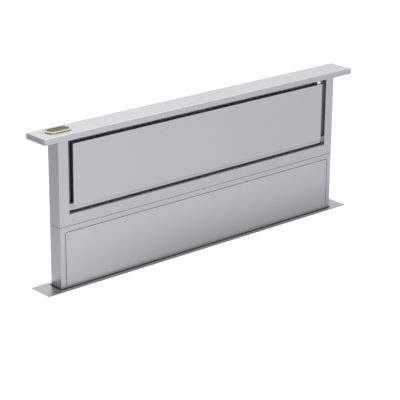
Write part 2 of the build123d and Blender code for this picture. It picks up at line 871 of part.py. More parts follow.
def make_housing_front():
    """Front wall with the blower's inlet and two pressed ribs."""
    wall = block(
        -housing_half, housing_half, housing_front_y, housing_front_y + housing_sheet,
        housing_floor, housing_top,
    )
    wall -= rod(wheel_x, housing_front_y - 1, wheel_z, nozzle_flange - 8.0, 4, "y")
    for z in rib_levels:
        level = Plane(origin=(rib_x, housing_front_y, z), x_dir=(1, 0, 0), z_dir=(0, -1, 0))
        rib = level * SlotOverall(rib_length, rib_width)
        bulge = extrude(rib, amount=rib_height)
        bulge = chamfer(bulge.faces().sort_by(Axis.Y)[0].edges(), 1.0)
        wall += bulge
    return wall


# ---------------------------------------------------------------- blower
def wheel_plane(y):
    """Plane at depth y, seen from the front, centred on the wheel's axis."""
    return Plane(origin=(wheel_x, y, wheel_z), x_dir=(1, 0, 0), z_dir=(0, -1, 0))


def spiral_point(angle, inset=0.0):
    """Point of the volute: its radius grows evenly with the angle from the tongue."""
    turned = angle - math.radians(tongue_angle)
    full = math.radians(270.0 - tongue_angle)
    radius = wheel_radius + scroll_gap + scroll_growth * turned / full - inset
    return (radius * math.cos(angle), radius * math.sin(angle))


def outlet_levels():
    """Lower and upper wall of the scroll's outlet, from the wheel's axis."""
    low = spiral_point(math.radians(270.0))[1]
    high = spiral_point(math.radians(tongue_angle))[1] + outlet_rise
    return low, high


def volute_face(inset, overrun):
    """Outline of the scroll with the outlet at the lower right, drawn in by a wall's thickness."""
    first = math.radians(tongue_angle)
    last = math.radians(270.0)
    count = 11
    points = [spiral_point(first + (last - first) * i / (count - 1), inset) for i in range(count)]
    tongue = points[0]
    floor = points[-1]
    end_x = outlet_x + overrun
    rise = outlet_rise * (end_x - tongue[0]) / (outlet_x - spiral_point(first)[0])
    top_right = (end_x, tongue[1] + rise)
    edges = [
        Spline(*points),
        Line(floor, (end_x, floor[1])),
        Line((end_x, floor[1]), top_right),
        Line(top_right, tongue),
    ]
    return make_face(edges)


def make_scroll_body():
    """Volute wrapper and its front plate, open at the outlet and towards the housing."""
    back = housing_front_y - scroll_sheet
    outer = extrude(wheel_plane(back) * volute_face(0.0, 0.0), amount=scroll_depth - scroll_sheet)
    hollow = extrude(
        wheel_plane(back + 1) * volute_face(scroll_sheet, 2.0), amount=scroll_depth - 2 * scroll_sheet + 1,
    )
    boss = rod(wheel_x, scroll_front_y - 1, wheel_z, motor_boss_radius + 3.0, 4, "y")
    return outer - hollow - boss


def make_scroll_back_plate():
    """Plate between the scroll and the housing's front wall, with the inlet hole."""
    face = volute_face(0.0, 0.0) + Circle(wheel_radius + 28.0)
    plate = extrude(wheel_plane(housing_front_y) * face, amount=scroll_sheet)
    return plate - rod(wheel_x, housing_front_y - 4, wheel_z, nozzle_flange - 8.0, 8, "y")


def make_inlet_ring():
    """Bell-mouth nozzle: flange on the back plate, throat towards the wheel."""
    y0 = housing_front_y - scroll_sheet
    t = 1.2
    outline = [
        (nozzle_flange, y0), (nozzle_flange, y0 - t), (nozzle_throat + 6.0, y0 - t),
        (nozzle_throat + t, y0 - t - 3.6), (nozzle_throat + t, y0 - nozzle_length),
        (nozzle_throat, y0 - nozzle_length),
        (nozzle_throat, y0 - 3.4), (nozzle_throat + 4.6, y0),
    ]
    face = make_face(Polyline(*[(r, y, 0) for r, y in outline], close=True))
    ring = revolve(face, axis=Axis.Y)
    return Pos(wheel_x, 0, wheel_z) * ring


def make_blower_wheel():
    """Forward-curved wheel: disc and hub at the motor's end, blades, and a ring at the inlet."""
    disc_y = scroll_front_y + scroll_sheet + wheel_end_gap
    ring_y = housing_front_y - scroll_sheet - 11.0
    disc = extrude(wheel_plane(disc_y + wheel_disc) * Circle(wheel_radius), amount=wheel_disc)
    ring = extrude(
        wheel_plane(ring_y) * (Circle(wheel_radius) - Circle(wheel_inner_radius - 1.0)), amount=wheel_ring,
    )
    inner = wheel_inner_radius
    outer = wheel_radius - 0.6
    lead = math.radians(blade_lead)
    middle_radius = (inner + outer) / 2

    def blade_arc(shift):
        start = (inner * math.cos(shift / inner), inner * math.sin(shift / inner))
        bow = lead / 2 - blade_bow / middle_radius + shift / middle_radius
        middle = (middle_radius * math.cos(bow), middle_radius * math.sin(bow))
        end_angle = lead + shift / outer
        end = (outer * math.cos(end_angle), outer * math.sin(end_angle))
        return start, middle, end

    a = blade_arc(0.0)
    b = blade_arc(blade_sheet)
    blade_edges = [ThreePointArc(*a), Line(a[2], b[2]), ThreePointArc(*reversed(b)), Line(b[0], a[0])]
    blade_face = make_face(blade_edges)
    blades = [Rot(0, 0, 360.0 * i / blade_count) * blade_face for i in range(blade_count)]
    height = (ring_y - disc_y) - wheel_disc
    rows = [extrude(wheel_plane(ring_y) * blade, amount=height + 0.2) for blade in blades]
    hub = extrude(wheel_plane(disc_y + wheel_disc + hub_length) * Circle(hub_radius), amount=hub_length)
    wheel = disc + ring + hub + rows
    return wheel - rod(wheel_x, disc_y - 5, wheel_z, blower_shaft_radius + 0.02, hub_length + 20, "y")


def make_blower_shaft():
    y0 = scroll_front_y - 28.0
    y1 = scroll_front_y + scroll_sheet + wheel_end_gap + wheel_disc + hub_length + 2.0
    return rod(wheel_x, y0, wheel_z, blower_shaft_radius, y1 - y0, "y")


def make_blower_motor():
    """Motor can with a flange on the scroll's front plate, cooling slots and a shaft bore."""
    can = rod(wheel_x, motor_front_y, wheel_z, motor_radius, motor_length, "y")
    can = fillet(can.faces().sort_by(Axis.Y)[0].edges(), 7.0)
    can += rod(wheel_x, scroll_front_y - motor_flange, wheel_z, motor_flange_radius, motor_flange, "y")
    can += rod(wheel_x, scroll_front_y, wheel_z, motor_boss_radius, 3.5, "y")
    for index in range(8):
        angle = 45.0 * index + 22.5
        slot = Rot(0, angle, 0) * Box(7.0, 26.0, 12.0)
        radial = motor_radius + 2.0
        x = wheel_x + radial * math.sin(math.radians(angle))
        z = wheel_z + radial * math.cos(math.radians(angle))
        can -= Pos(x, motor_front_y + motor_length / 2, z) * slot
    return can - rod(wheel_x, scroll_front_y - 32.0, wheel_z, blower_shaft_radius + bore_clearance, 50, "y")


def collar_centre():
    """The duct's axis: clear of the housing's front wall, level with the outlet's middle."""
    low, high = outlet_levels()
    y = housing_front_y - collar_wall_gap - collar_radius - collar_bead
    return y, wheel_z + (low + high) / 2


def make_outlet_transition():
    """Sheet transition from the scroll's rectangular outlet to the round duct."""
    low, high = outlet_levels()
    y_c, z_c = collar_centre()
    x0 = wheel_x + outlet_x
    y_mid = (scroll_front_y + housing_front_y) / 2
    z_mid = wheel_z + (low + high) / 2
    start = Plane(origin=(x0, y_mid, z_mid), x_dir=(0, 1, 0), z_dir=(1, 0, 0))
    end = Plane(origin=(x0 + transition_length, y_c, z_c), x_dir=(0, 1, 0), z_dir=(1, 0, 0))

    def duct(inset):
        mouth = RectangleRounded(scroll_depth - 2 * inset, high - low - 2 * inset, 4.0 - inset)
        return loft([start * mouth, end * Circle(collar_radius - inset)])

    return duct(0.0) - duct(scroll_sheet)


def make_duct_collar():
    """Round collar with a rolled bead and a stop ring for the flaps."""
    y_c, z_c = collar_centre()
    x0 = wheel_x + outlet_x + transition_length
    inner = collar_radius - collar_wall
    pin_x = x0 + flap_pin_inset
    stop_x = pin_x - flap_thickness / 2 - 0.3
    r = collar_radius
    b = collar_bead
    outline = Polyline(
        (inner, x0), (r, x0), (r, x0 + 3.0), (r + b, x0 + 4.5), (r + b, x0 + 6.5), (r, x0 + 8.0),
        (r, x0 + collar_length), (inner, x0 + collar_length), (inner, stop_x), (inner - stop_height, stop_x),
        (inner - stop_height, stop_x - 1.2), (inner, stop_x - 1.2), close=True,
    )
    face = make_face(outline)
    ring = revolve(face, axis=Axis.Y)
    placed = Pos(0, y_c, z_c) * Rot(0, 0, -90) * ring
    pin_hole = rod(pin_x, y_c, z_c - r - 2, flap_pin_radius + 0.05, 2 * r + 4, "z")
    return placed - pin_hole


def make_damper_pin():
    y_c, z_c = collar_centre()
    x = wheel_x + outlet_x + transition_length + flap_pin_inset
    return rod(x, y_c, z_c - collar_radius, flap_pin_radius, 2 * collar_radius, "z")


def make_damper_flap(side):
    """Half-disc flap with two knuckles on the pin; side is -1 for the front one."""
    y_c, z_c = collar_centre()
    x = wheel_x + outlet_x + transition_length + flap_pin_inset
    radius = collar_radius - collar_wall - flap_gap
    knuckle = flap_pin_radius + bore_clearance + knuckle_wall
    plane = Plane(origin=(x - flap_thickness / 2, y_c, z_c), x_dir=(0, 1, 0), z_dir=(1, 0, 0))
    disc = Circle(radius)
    keep = Pos(side * (radius / 2 + knuckle / 2 + 0.4), 0) * Rectangle(radius - knuckle + 0.8, 2 * radius)
    flap = extrude(plane * (disc & keep), amount=flap_thickness)
    low_half = ((-52.0, -34.0), (16.0, 34.0))
    high_half = ((-33.5, -16.0), (34.5, 52.0))
    for z0, z1 in low_half if side < 0 else high_half:
        tube = rod(x, y_c, z_c + z0, knuckle, z1 - z0, "z")
        web = block(
            x - flap_thickness / 2, x + flap_thickness / 2,
            y_c, y_c + side * (knuckle + 1.5), z_c + z0, z_c + z1,
        )
        flap += tube + web
    return flap - rod(x, y_c, z_c - radius - 5, flap_pin_radius + bore_clearance, 2 * radius + 10, "z")


# ---------------------------------------------------------------- box, brackets, legs, screws
def make_junction_box():
    x0 = junction_x - junction_width / 2
    z0 = junction_z - junction_height / 2
    outer = block(
        x0, x0 + junction_width, housing_front_y - junction_depth, housing_front_y,
        z0, z0 + junction_height,
    )
    outer = fillet(outer.edges().filter_by(Axis.Y), 3.0)
    box = offset(outer, amount=-junction_sheet, openings=outer.faces().sort_by(Axis.Y)[0])
    entry_y = housing_front_y - junction_depth / 2
    return box - rod(junction_x, entry_y, z0 - 2, entry_radius, 6, "z")


def make_junction_lid():
    x0 = junction_x - junction_width / 2
    z0 = junction_z - junction_height / 2
    y1 = housing_front_y - junction_depth
    lid = block(x0, x0 + junction_width, y1 - junction_sheet, y1, z0, z0 + junction_height)
    lid = fillet(lid.edges().filter_by(Axis.Y), 3.0)
    inset = junction_sheet + 0.3
    lip = block(
        x0 + inset, x0 + junction_width - inset, y1, y1 + 5.0, z0 + inset, z0 + junction_height - inset,
    )
    lip = fillet(lip.edges().filter_by(Axis.Y), 2.0)
    core = block(
        x0 + inset + 1.2, x0 + junction_width - inset - 1.2, y1, y1 + 6.0,
        z0 + inset + 1.2, z0 + junction_height - inset - 1.2,
    )
    return lid + (lip - core)


def make_worktop_bracket():
    """Right-hand angle bracket under the worktop."""
    y1 = housing_front_y
    top = plate_bottom - worktop_thickness
    half = bracket_width / 2
    wall = block(
        bracket_x - half, bracket_x + half, y1 - bracket_sheet, y1, top - bracket_drop, top,
    )
    shelf = block(
        bracket_x - half, bracket_x + half, y1 - bracket_reach, y1, top - bracket_sheet, top,
    )
    corner = Vector(bracket_x, y1, top)
    folds = (wall + shelf).edges().filter_by(Axis.X)
    bracket = fillet(folds.sort_by(lambda edge: (edge.center() - corner).length)[0], 1.5)
    for sx in (-1, 1):
        x = bracket_x + sx * bracket_hole_spacing / 2
        bracket -= rod(x, y1 - bracket_reach / 2 - 4, top - 6, bracket_hole_radius, 12, "z")
        slot = Plane(origin=(x, y1 + 1, top - 30), x_dir=(0, 0, 1), z_dir=(0, -1, 0))
        opening = SlotOverall(26.0, 2 * (screw_radius + hole_clearance))
        bracket -= extrude(slot * opening, amount=bracket_sheet + 2)
    return bracket


def make_support_leg():
    """Right-hand leg: a plate on the housing's end, cut to a gusset, and a folded foot."""
    x0 = housing_half
    x1 = x0 + leg_sheet
    y0 = housing_front_y
    y1 = housing_back_y
    outline = [
        (y1, 0), (y1, leg_height), (y0, leg_height), (y0, 110.0), (-leg_reach + 10, 26.0), (-leg_reach, 14.0),
        (-leg_reach, 0),
    ]
    leg = section_along_x(outline, x0, x1)
    foot = block(x0 - leg_foot, x1, -leg_reach, y1, 0, leg_sheet)
    foot = fillet(foot.edges().filter_by(Axis.Z).sort_by(Axis.X)[:2], 6.0)
    leg += foot
    for y in leg_hole_places():
        leg -= rod(x0 - leg_foot / 2, y, -1, leg_hole_radius, leg_sheet + 2, "z")
    for y in (-leg_screw_y, leg_screw_y):
        slot = Plane(origin=(x0 - 1, y, leg_slot_z), x_dir=(0, 0, 1), z_dir=(1, 0, 0))
        opening = SlotOverall(leg_slot_length, 2 * (screw_radius + hole_clearance))
        leg -= extrude(slot * opening, amount=leg_sheet + 2)
    window = Plane(origin=(x0 - 1, -60.0, 34.0), x_dir=(0, 1, 0), z_dir=(1, 0, 0))
    leg -= extrude(window * SlotOverall(80.0, 24.0), amount=leg_sheet + 2)
    return leg


def leg_hole_places():
    middle = (housing_back_y - leg_reach) / 2
    return [middle - leg_hole_spacing / 2, middle + leg_hole_spacing / 2]


def leg_screw_places():
    return [(sy * leg_screw_y, leg_slot_z + leg_slot_length / 4) for sy in (-1, 1)]


def make_cap_screws():
    length = column_sheet + cap_base_sheet + 3.0
    seat = cap_bottom - column_sheet
    return group([pan_screw(x, y, seat, (0, 0, 1), length) for x, y in cap_screw_places()])


def make_leg_screws():
    pieces = []
    for y, z in leg_screw_places():
        screw = pan_screw(housing_half + leg_sheet, y, z, (-1, 0, 0), leg_sheet + housing_sheet + 3.0)
        pieces += [screw, mirrored(screw)]
    return group(pieces)


nodes = {
    "cap_lid": make_cap_lid(),
    "cap_base": make_cap_base(),
    "badge_bezel": make_badge_bezel(),
    "badge_face": make_badge_face(),
    "head_frame": make_head_frame(),
    "access_panel": make_access_panel(),
    "panel_hinge_blocks": make_panel_hinge_blocks(),
    "panel_stiffener": make_panel_stiffener(),
    "hinge_bracket_right": make_hinge_bracket(),
    "hinge_bracket_left": mirrored(make_hinge_bracket()),
    "panel_catch": make_panel_catch(),
    "filter_track_upper": make_filter_track(True),
    "filter_track_lower": make_filter_track(False),
    "filter_frame_left": make_filter_frame(),
    "filter_frame_right": mirrored(make_filter_frame()),
    "filter_mesh_left": make_filter_mesh(),
    "filter_mesh_right": mirrored(make_filter_mesh()),
    "seam_collar": make_seam_collar(),
    "column_body": make_column_body(),
    "lower_front_cover": make_lower_front_cover(),
    "shaft_bushes": make_shaft_bushes(),
    "motor_bracket": make_motor_bracket(),
    "lift_gearmotor": make_lift_gearmotor(),
    "cross_shaft": make_cross_shaft(),
    "lift_pinion_right": make_lift_pinion(),
    "lift_pinion_left": mirrored(make_lift_pinion()),
    "drive_gear": make_drive_gear(),
    "motor_pinion": make_motor_pinion(),
    "slide_shoes": make_slide_shoes(),
    "position_magnet": make_position_magnet(),
    "cap_screws": make_cap_screws(),
    "trim_plate": make_trim_plate(),
    "wiper_seal": make_wiper_seal(),
    "housing_rear": make_housing_rear(),
    "housing_front": make_housing_front(),
    "guide_rail_right": make_guide_rail(),
    "guide_rail_left": mirrored(make_guide_rail()),
    "rack_right": make_rack(),
    "rack_left": mirrored(make_rack()),
    "position_sensors": make_position_sensors(),
    "scroll_body": make_scroll_body(),
    "scroll_back_plate": make_scroll_back_plate(),
    "inlet_ring": make_inlet_ring(),
    "blower_wheel": make_blower_wheel(),
    "blower_shaft": make_blower_shaft(),
    "blower_motor": make_blower_motor(),
    "outlet_transition": make_outlet_transition(),
    "duct_collar": make_duct_collar(),
    "damper_pin": make_damper_pin(),
    "damper_flap_front": make_damper_flap(-1),
    "damper_flap_rear": make_damper_flap(1),
    "junction_box": make_junction_box(),
    "junction_lid": make_junction_lid(),
    "worktop_bracket_right": make_worktop_bracket(),
    "worktop_bracket_left": mirrored(make_worktop_bracket()),
    "support_leg_right": make_support_leg(),
    "support_leg_left": mirrored(make_support_leg()),
    "leg_screws": make_leg_screws(),
}

os.makedirs("parts", exist_ok=True)
for name, shape in nodes.items():
    export_step(Pos(0, column_y, 0) * shape, f"parts/{name}.step")

print("nodes", len(nodes))
print("lift travel", round(lift_travel, 2), "column_y", round(column_y, 2))
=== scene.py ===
import json
import math

import bpy
import numpy as np
from mathutils import Matrix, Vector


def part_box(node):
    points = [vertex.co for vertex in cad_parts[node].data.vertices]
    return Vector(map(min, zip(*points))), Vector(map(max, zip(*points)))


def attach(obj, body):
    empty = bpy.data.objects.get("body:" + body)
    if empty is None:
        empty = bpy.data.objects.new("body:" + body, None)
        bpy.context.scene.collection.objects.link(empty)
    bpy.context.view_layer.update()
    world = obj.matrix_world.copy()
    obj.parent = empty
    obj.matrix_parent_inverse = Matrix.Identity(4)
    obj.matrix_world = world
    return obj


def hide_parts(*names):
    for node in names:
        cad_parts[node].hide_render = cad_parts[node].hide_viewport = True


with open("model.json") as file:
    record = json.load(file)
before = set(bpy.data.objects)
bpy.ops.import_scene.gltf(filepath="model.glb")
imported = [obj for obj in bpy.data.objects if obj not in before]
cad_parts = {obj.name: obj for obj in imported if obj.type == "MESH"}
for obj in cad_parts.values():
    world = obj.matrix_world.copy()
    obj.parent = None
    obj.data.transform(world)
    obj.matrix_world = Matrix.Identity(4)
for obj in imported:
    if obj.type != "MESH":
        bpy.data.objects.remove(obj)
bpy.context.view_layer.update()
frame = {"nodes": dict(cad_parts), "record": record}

# Telescopic downdraft vent in brushed stainless steel. Metres, in the part's own frame.

# ---------------------------------------------------------------- shader maths
class Wire:
    """An output socket. Arithmetic between wires and numbers adds Math nodes."""

    def __init__(self, finish, socket):
        self.finish = finish
        self.socket = socket

    def math(self, operation, first, second=None):
        """Adds a Math node on one or two values."""
        values = {0: first} if second is None else {0: first, 1: second}
        return self.finish.add("ShaderNodeMath", {"operation": operation}, values)

    def __add__(self, other):
        return self.math("ADD", self, other)

    __radd__ = __add__

    def __sub__(self, other):
        return self.math("SUBTRACT", self, other)

    def __rsub__(self, other):
        return self.math("SUBTRACT", other, self)

    def __mul__(self, other):
        return self.math("MULTIPLY", self, other)

    def __abs__(self):
        return self.math("ABSOLUTE", self)

    def least(self, other):
        return self.math("MINIMUM", self, other)

    def most(self, other):
        return self.math("MAXIMUM", self, other)

    def sine(self):
        return self.math("SINE", self)

    def ramp(self, low, high, start=0.0, end=1.0):
        """Smooth step from start at low to end at high."""
        settings = {"interpolation_type": "SMOOTHSTEP"}
        sockets = {"Value": self, "From Min": low, "From Max": high, "To Min": start, "To Max": end}
        return self.finish.add("ShaderNodeMapRange", settings, sockets)


class Finish:
    """A material in the making: a node tree, its shader, and one way to add any other node."""

    def __init__(self, name, **constants):
        self.material = bpy.data.materials.new(name)
        self.material.use_nodes = True
        self.tree = self.material.node_tree
        self.tree.nodes.clear()
        self.output = self.tree.nodes.new("ShaderNodeOutputMaterial")
        self.shader = self.tree.nodes.new("ShaderNodeBsdfPrincipled")
        self.tree.links.new(self.shader.outputs[0], self.output.inputs["Surface"])
        self.set(**constants)

    def set(self, **sockets):
        """Gives the main shader's sockets a value or a wire; underscores stand for spaces."""
        for name, value in sockets.items():
            self.join(self.shader.inputs[name.replace("_", " ")], value)

    def join(self, socket, value):
        """Links a wire to a socket, or gives the socket a plain value."""
        if isinstance(value, Wire):
            self.tree.links.new(value.socket, socket)
        else:
            socket.default_value = value

    def add(self, kind, settings=None, sockets=None, out=0):
        """Adds a node with its settings and sockets, and returns one of its outputs."""
        node = self.tree.nodes.new(kind)
        for name, value in (settings or {}).items():
            setattr(node, name, value)
        for name, value in (sockets or {}).items():
            self.join(node.inputs[name], value)
        return Wire(self, node.outputs[out])

    def place(self):
        """Object coordinates."""
        return self.add("ShaderNodeTexCoord", out="Object")

    def split(self, vector):
        """A vector's X, Y and Z as separate wires."""
        first = self.add("ShaderNodeSeparateXYZ", sockets={"Vector": vector})
        return [Wire(self, output) for output in first.socket.node.outputs]

    def axes(self):
        """The three object coordinates."""
        return self.split(self.place())

    def outward(self):
        """The surface's direction along X, Y and Z."""
        return self.split(self.add("ShaderNodeTexCoord", out="Normal"))

    def stretched(self, scale):
        """Object coordinates multiplied per axis."""
        return self.add("ShaderNodeMapping", sockets={"Vector": self.place(), "Scale": scale})

    def noise(self, scale, detail=3.0, roughness=0.5):
        """Fractal noise from 0 to 1 with its own number of cells per metre on each axis."""
        sockets = {"Vector": self.stretched(scale), "Scale": 1.0, "Detail": detail, "Roughness": roughness}
        return self.add("ShaderNodeTexNoise", sockets=sockets)

    def blend(self, mask, first, second):
        """Goes from one colour's socket or value to another's with a mask."""
        return self.add("ShaderNodeMix", {"data_type": "RGBA"}, {0: mask, 6: first, 7: second}, out=2)

    def tint(self, mask, low, high):
        """Colour that goes from low to high with a mask."""
        return self.blend(mask, (*low, 1.0), (*high, 1.0))

    def bump(self, height, distance, strength):
        """Turns a height from 0 to 1 into a normal; the distance is its full depth in metres."""
        sockets = {"Height": height, "Distance": distance, "Strength": strength}
        return self.add("ShaderNodeBump", sockets=sockets)

    def within(self, node):
        """Two masks for the inner side of a folded sheet: how dark its painted shade is, and how dull it
        is.

        Inner faces are those that turn to the node's middle, or look up or down past its edge. Upright
        ones have their darkest painted shade near the edge and are dull further in. Level ones are dull
        from the edge on, and their painted shade darkens slowly.
        """
        low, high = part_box(node)
        x, y, _ = self.axes()
        off_x, off_y = x - (low.x + high.x) / 2, y - (low.y + high.y) / 2
        from_front = (high.y - low.y) / 2 - abs(off_y)
        from_edge = ((high.x - low.x) / 2 - abs(off_x)).least(from_front)
        way_x, way_y, way_z = self.outward()
        turned = (off_x * way_x + off_y * way_y).ramp(-0.002, 0.0, 1.0, 0.0)
        flat = abs(way_z).ramp(0.85, 0.97)
        past_fold = from_edge.ramp(*upright_edge) * from_edge.ramp(*upright_depth, 1.0, inner_depth_light)
        dark = (turned * past_fold).most(flat * from_edge.ramp(*level_depth))
        dull = (turned * from_front.ramp(*upright_depth)).most(flat * from_front.ramp(*level_edge))
        return dark, dull

    def returns(self, node):
        """Painted shade on a pan's returns: 1 on every side but its face, from just behind the face."""
        low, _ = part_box(node)
        _, y, _ = self.axes()
        _, way_y, _ = self.outward()
        return (y - low.y).ramp(0.0008, 0.0014) * (0.0 - way_y).ramp(0.3, 0.7, 1.0, 0.0)

    def rim(self, node, width):
        """1 at the edges of a node's box, 0 further in than the width.

        The middle one of the distances to the three pairs of faces is the distance to the nearest edge.
        """
        low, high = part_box(node)
        gaps = []
        for wire, a, b in zip(self.axes(), low, high):
            gaps.append((b - a) / 2 - abs(wire - (a + b) / 2))
        x, y, z = gaps
        middle = x.least(y).most(x.most(y).least(z))
        return middle.ramp(0.0, width, 1.0, 0.0)


def shade(colour, factor):
    """A colour times a factor, held at white."""
    return tuple(min(1.0, c * factor) for c in colour)


# ---------------------------------------------------------------- finishes
def brushed(name, node, colour, shaded_side=None):
    """Brushed sheet: hairlines along X, slow drifts of tone, and edges brighter as wear and painted
    highlight.

    Only the outside is brushed. On its shaded side, which one of Finish's masks picks, the sheet is
    darkened as painted shade.
    """
    finish = Finish(name)
    hair = finish.noise((7.0, hair_cells, hair_cells), 4.0, 0.6)
    end_hair = finish.noise((hair_cells, hair_cells, 7.0), 4.0, 0.6)
    band = finish.noise((2.5, band_cells, band_cells), 2.0, 0.5)
    cloud = finish.noise(cloud_cells, 3.0, 0.55)
    side = abs(finish.outward()[0]).ramp(0.6, 0.8)
    grain = hair * (1 - side) + end_hair * side
    # box edges brighter in patches: wear, and a painted highlight along the edges
    wear_and_highlight = finish.rim(node, wear_highlight_width) * finish.noise((90.0, 90.0, 90.0), 3.0, 0.6).ramp(0.3, 0.6)
    tone = grain * 0.5 + band * 0.25 + cloud * 0.25 + wear_and_highlight * wear_highlight_gain
    dark, dull = 0.0, 0.0
    # the mask of the inner sides that are darkened as painted shade
    if shaded_side == "within":
        dark, dull = finish.within(node)
    elif shaded_side == "returns":
        dark = finish.returns(node)
    outside = finish.tint(tone, shade(colour, 0.94), shade(colour, 1.06))
    # painted shade: the colour of the darkened inner sides
    inside = finish.tint(cloud, shade(colour, inner_shade * 0.8), shade(colour, inner_shade * 1.2))
    roughness = sheet_polish + (grain - 0.5) * 0.16 + (cloud - 0.5) * 0.06 - wear_and_highlight * 0.08
    finish.set(
        Base_Color=finish.blend(dark, outside, inside),
        Roughness=roughness + dark * dark_roughness + dull * dull_roughness,
        Metallic=1.0 - dull * dull_loss,
        Normal=finish.bump(grain, 0.00004, 0.35),
    )
    return finish.material


def mill_steel(name, colour):
    """Plain rolled sheet: blotches of tone, faint rolling lines and handling marks."""
    finish = Finish(name, Metallic=0.85)
    roll = finish.noise((9.0, 420.0, 420.0), 3.0, 0.6)
    blotch = finish.noise((16.0, 16.0, 16.0), 4.0, 0.6)
    marks = finish.noise((140.0, 60.0, 60.0), 2.0, 0.7).ramp(0.62, 0.72)
    tone = roll * 0.35 + blotch * 0.65
    finish.set(
        Base_Color=finish.tint(tone, shade(colour, 0.8), shade(colour, 1.15)),
        Roughness=0.38 + blotch * 0.18 - marks * 0.08,
        Normal=finish.bump(roll * 0.6 + marks * 0.4, 0.00003, 0.4),
    )
    return finish.material


def galvanised(name, colour):
    """Zinc spangle: crystals that differ in tone and gloss."""
    finish = Finish(name, Metallic=0.75)
    wobble = finish.noise((60.0, 60.0, 60.0), 2.0)
    cells = {"Vector": finish.place(), "Scale": 95.0, "Randomness": 1.0}
    crystal = finish.add("ShaderNodeTexVoronoi", {"feature": "F1"}, cells, out="Color")
    spangle = finish.add("ShaderNodeSeparateColor", sockets={"Color": crystal})
    seams = finish.add("ShaderNodeTexVoronoi", {"feature": "DISTANCE_TO_EDGE"}, cells, out="Distance")
    dust = finish.noise((9.0, 9.0, 9.0), 4.0, 0.6)
    tone = spangle * 0.55 + wobble * 0.2 + dust * 0.25
    finish.set(
        Base_Color=finish.tint(tone, shade(colour, 0.72), shade(colour, 1.12)),
        Roughness=0.36 + spangle * 0.2 + dust * 0.1,
        Normal=finish.bump(seams.ramp(0.0, 0.05), 0.00003, 0.35),
    )
    return finish.material


def expanded_mesh(name, colour):
    """Layers of expanded foil: slanted strands in two directions with dark openings between them."""
    finish = Finish(name, Metallic=0.8)
    x, _, z = finish.axes()
    slant, waves = 0.55, 2 * math.pi / strand_spacing
    ripple = finish.noise((120.0, 120.0, 120.0), 2.0) * 1.2
    strand_a = abs(((x * slant + z) * waves + ripple).sine())
    strand_b = abs(((x * -slant + z) * waves + ripple).sine())
    strand = strand_a.most(strand_b).ramp(0.55, 0.95)
    soot = finish.noise((14.0, 30.0, 14.0), 3.0)
    finish.set(
        Base_Color=finish.tint(strand * (0.75 + soot * 0.25), shade(colour, 0.16), colour),
        Roughness=0.52 - strand * 0.16,
        Normal=finish.bump(strand, 0.0004, 0.7),
    )
    return finish.material


def machined(name, colour):
    """Turned and cut steel: tool lines, a film of oil in patches."""
    finish = Finish(name, Metallic=1.0)
    lines = finish.noise((2200.0, 90.0, 90.0), 3.0, 0.5)
    film = finish.noise((70.0, 70.0, 70.0), 3.0, 0.6)
    finish.set(
        Base_Color=finish.tint(lines * 0.4 + film * 0.6, shade(colour, 0.7), shade(colour, 1.15)),
        Roughness=0.28 + film * 0.2,
        Normal=finish.bump(lines, 0.00002, 0.4),
    )
    return finish.material


def extruded(name, colour):
    """Drawn aluminium: die lines along Z and a satin anodised skin."""
    finish = Finish(name, Metallic=0.9)
    lines = finish.noise((1500.0, 1500.0, 4.0), 3.0, 0.55)
    skin = finish.noise((40.0, 40.0, 12.0), 3.0)
    finish.set(
        Base_Color=finish.tint(lines * 0.5 + skin * 0.5, shade(colour, 0.85), shade(colour, 1.08)),
        Roughness=0.34 + lines * 0.14,
        Normal=finish.bump(lines, 0.00002, 0.4),
    )
    return finish.material


def sintered(name, colour):
    """Pressed and sintered metal: fine pores."""
    finish = Finish(name, Metallic=0.9)
    pores = finish.noise((2600.0, 2600.0, 2600.0), 2.0).ramp(0.32, 0.5)
    stain = finish.noise((160.0, 160.0, 160.0), 3.0)
    finish.set(
        Base_Color=finish.tint(pores * 0.6 + stain * 0.4, shade(colour, 0.55), shade(colour, 1.1)),
        Roughness=0.5 - pores * 0.12,
        Normal=finish.bump(pores, 0.00004, 0.5),
    )
    return finish.material


def moulded(name, colour, gloss=0.5, shine=0.5):
    """Moulded plastic or rubber: fine spark-eroded texture and dust."""
    finish = Finish(name, Specular_IOR_Level=shine)
    skin = finish.noise((1900.0, 1900.0, 1900.0), 2.0, 0.6)
    dust = finish.noise((30.0, 30.0, 30.0), 4.0, 0.65)
    finish.set(
        Base_Color=finish.tint(dust.ramp(0.35, 0.75), colour, shade(colour, 1.9)),
        Roughness=gloss + skin * 0.16 + dust * 0.08,
        Normal=finish.bump(skin, 0.00006, 0.4),
    )
    return finish.material


def enamelled(name, colour, coat=0.25, shine=0.5):
    """Stove enamel: orange peel, slight gloss, rubbed lighter in patches."""
    finish = Finish(name, Coat_Weight=coat, Coat_Roughness=0.2, Specular_IOR_Level=shine)
    peel = finish.noise((520.0, 520.0, 520.0), 2.0)
    haze = finish.noise((24.0, 24.0, 24.0), 4.0, 0.6)
    finish.set(
        Base_Color=finish.tint(haze, shade(colour, 0.75), shade(colour, 1.6)),
        Roughness=0.42 + haze * 0.16,
        Normal=finish.bump(peel, 0.00005, 0.5),
    )
    return finish.material


def plated(name, colour, polish=0.2):
    """Bright plating with fine handling scratches."""
    finish = Finish(name, Metallic=1.0)
    scratch = finish.noise((900.0, 140.0, 400.0), 3.0, 0.65)
    film = finish.noise((120.0, 120.0, 120.0), 2.0)
    finish.set(
        Base_Color=finish.tint(scratch * 0.5 + film * 0.5, shade(colour, 0.85), shade(colour, 1.1)),
        Roughness=polish + scratch * 0.12,
        Normal=finish.bump(scratch, 0.00002, 0.3),
    )
    return finish.material


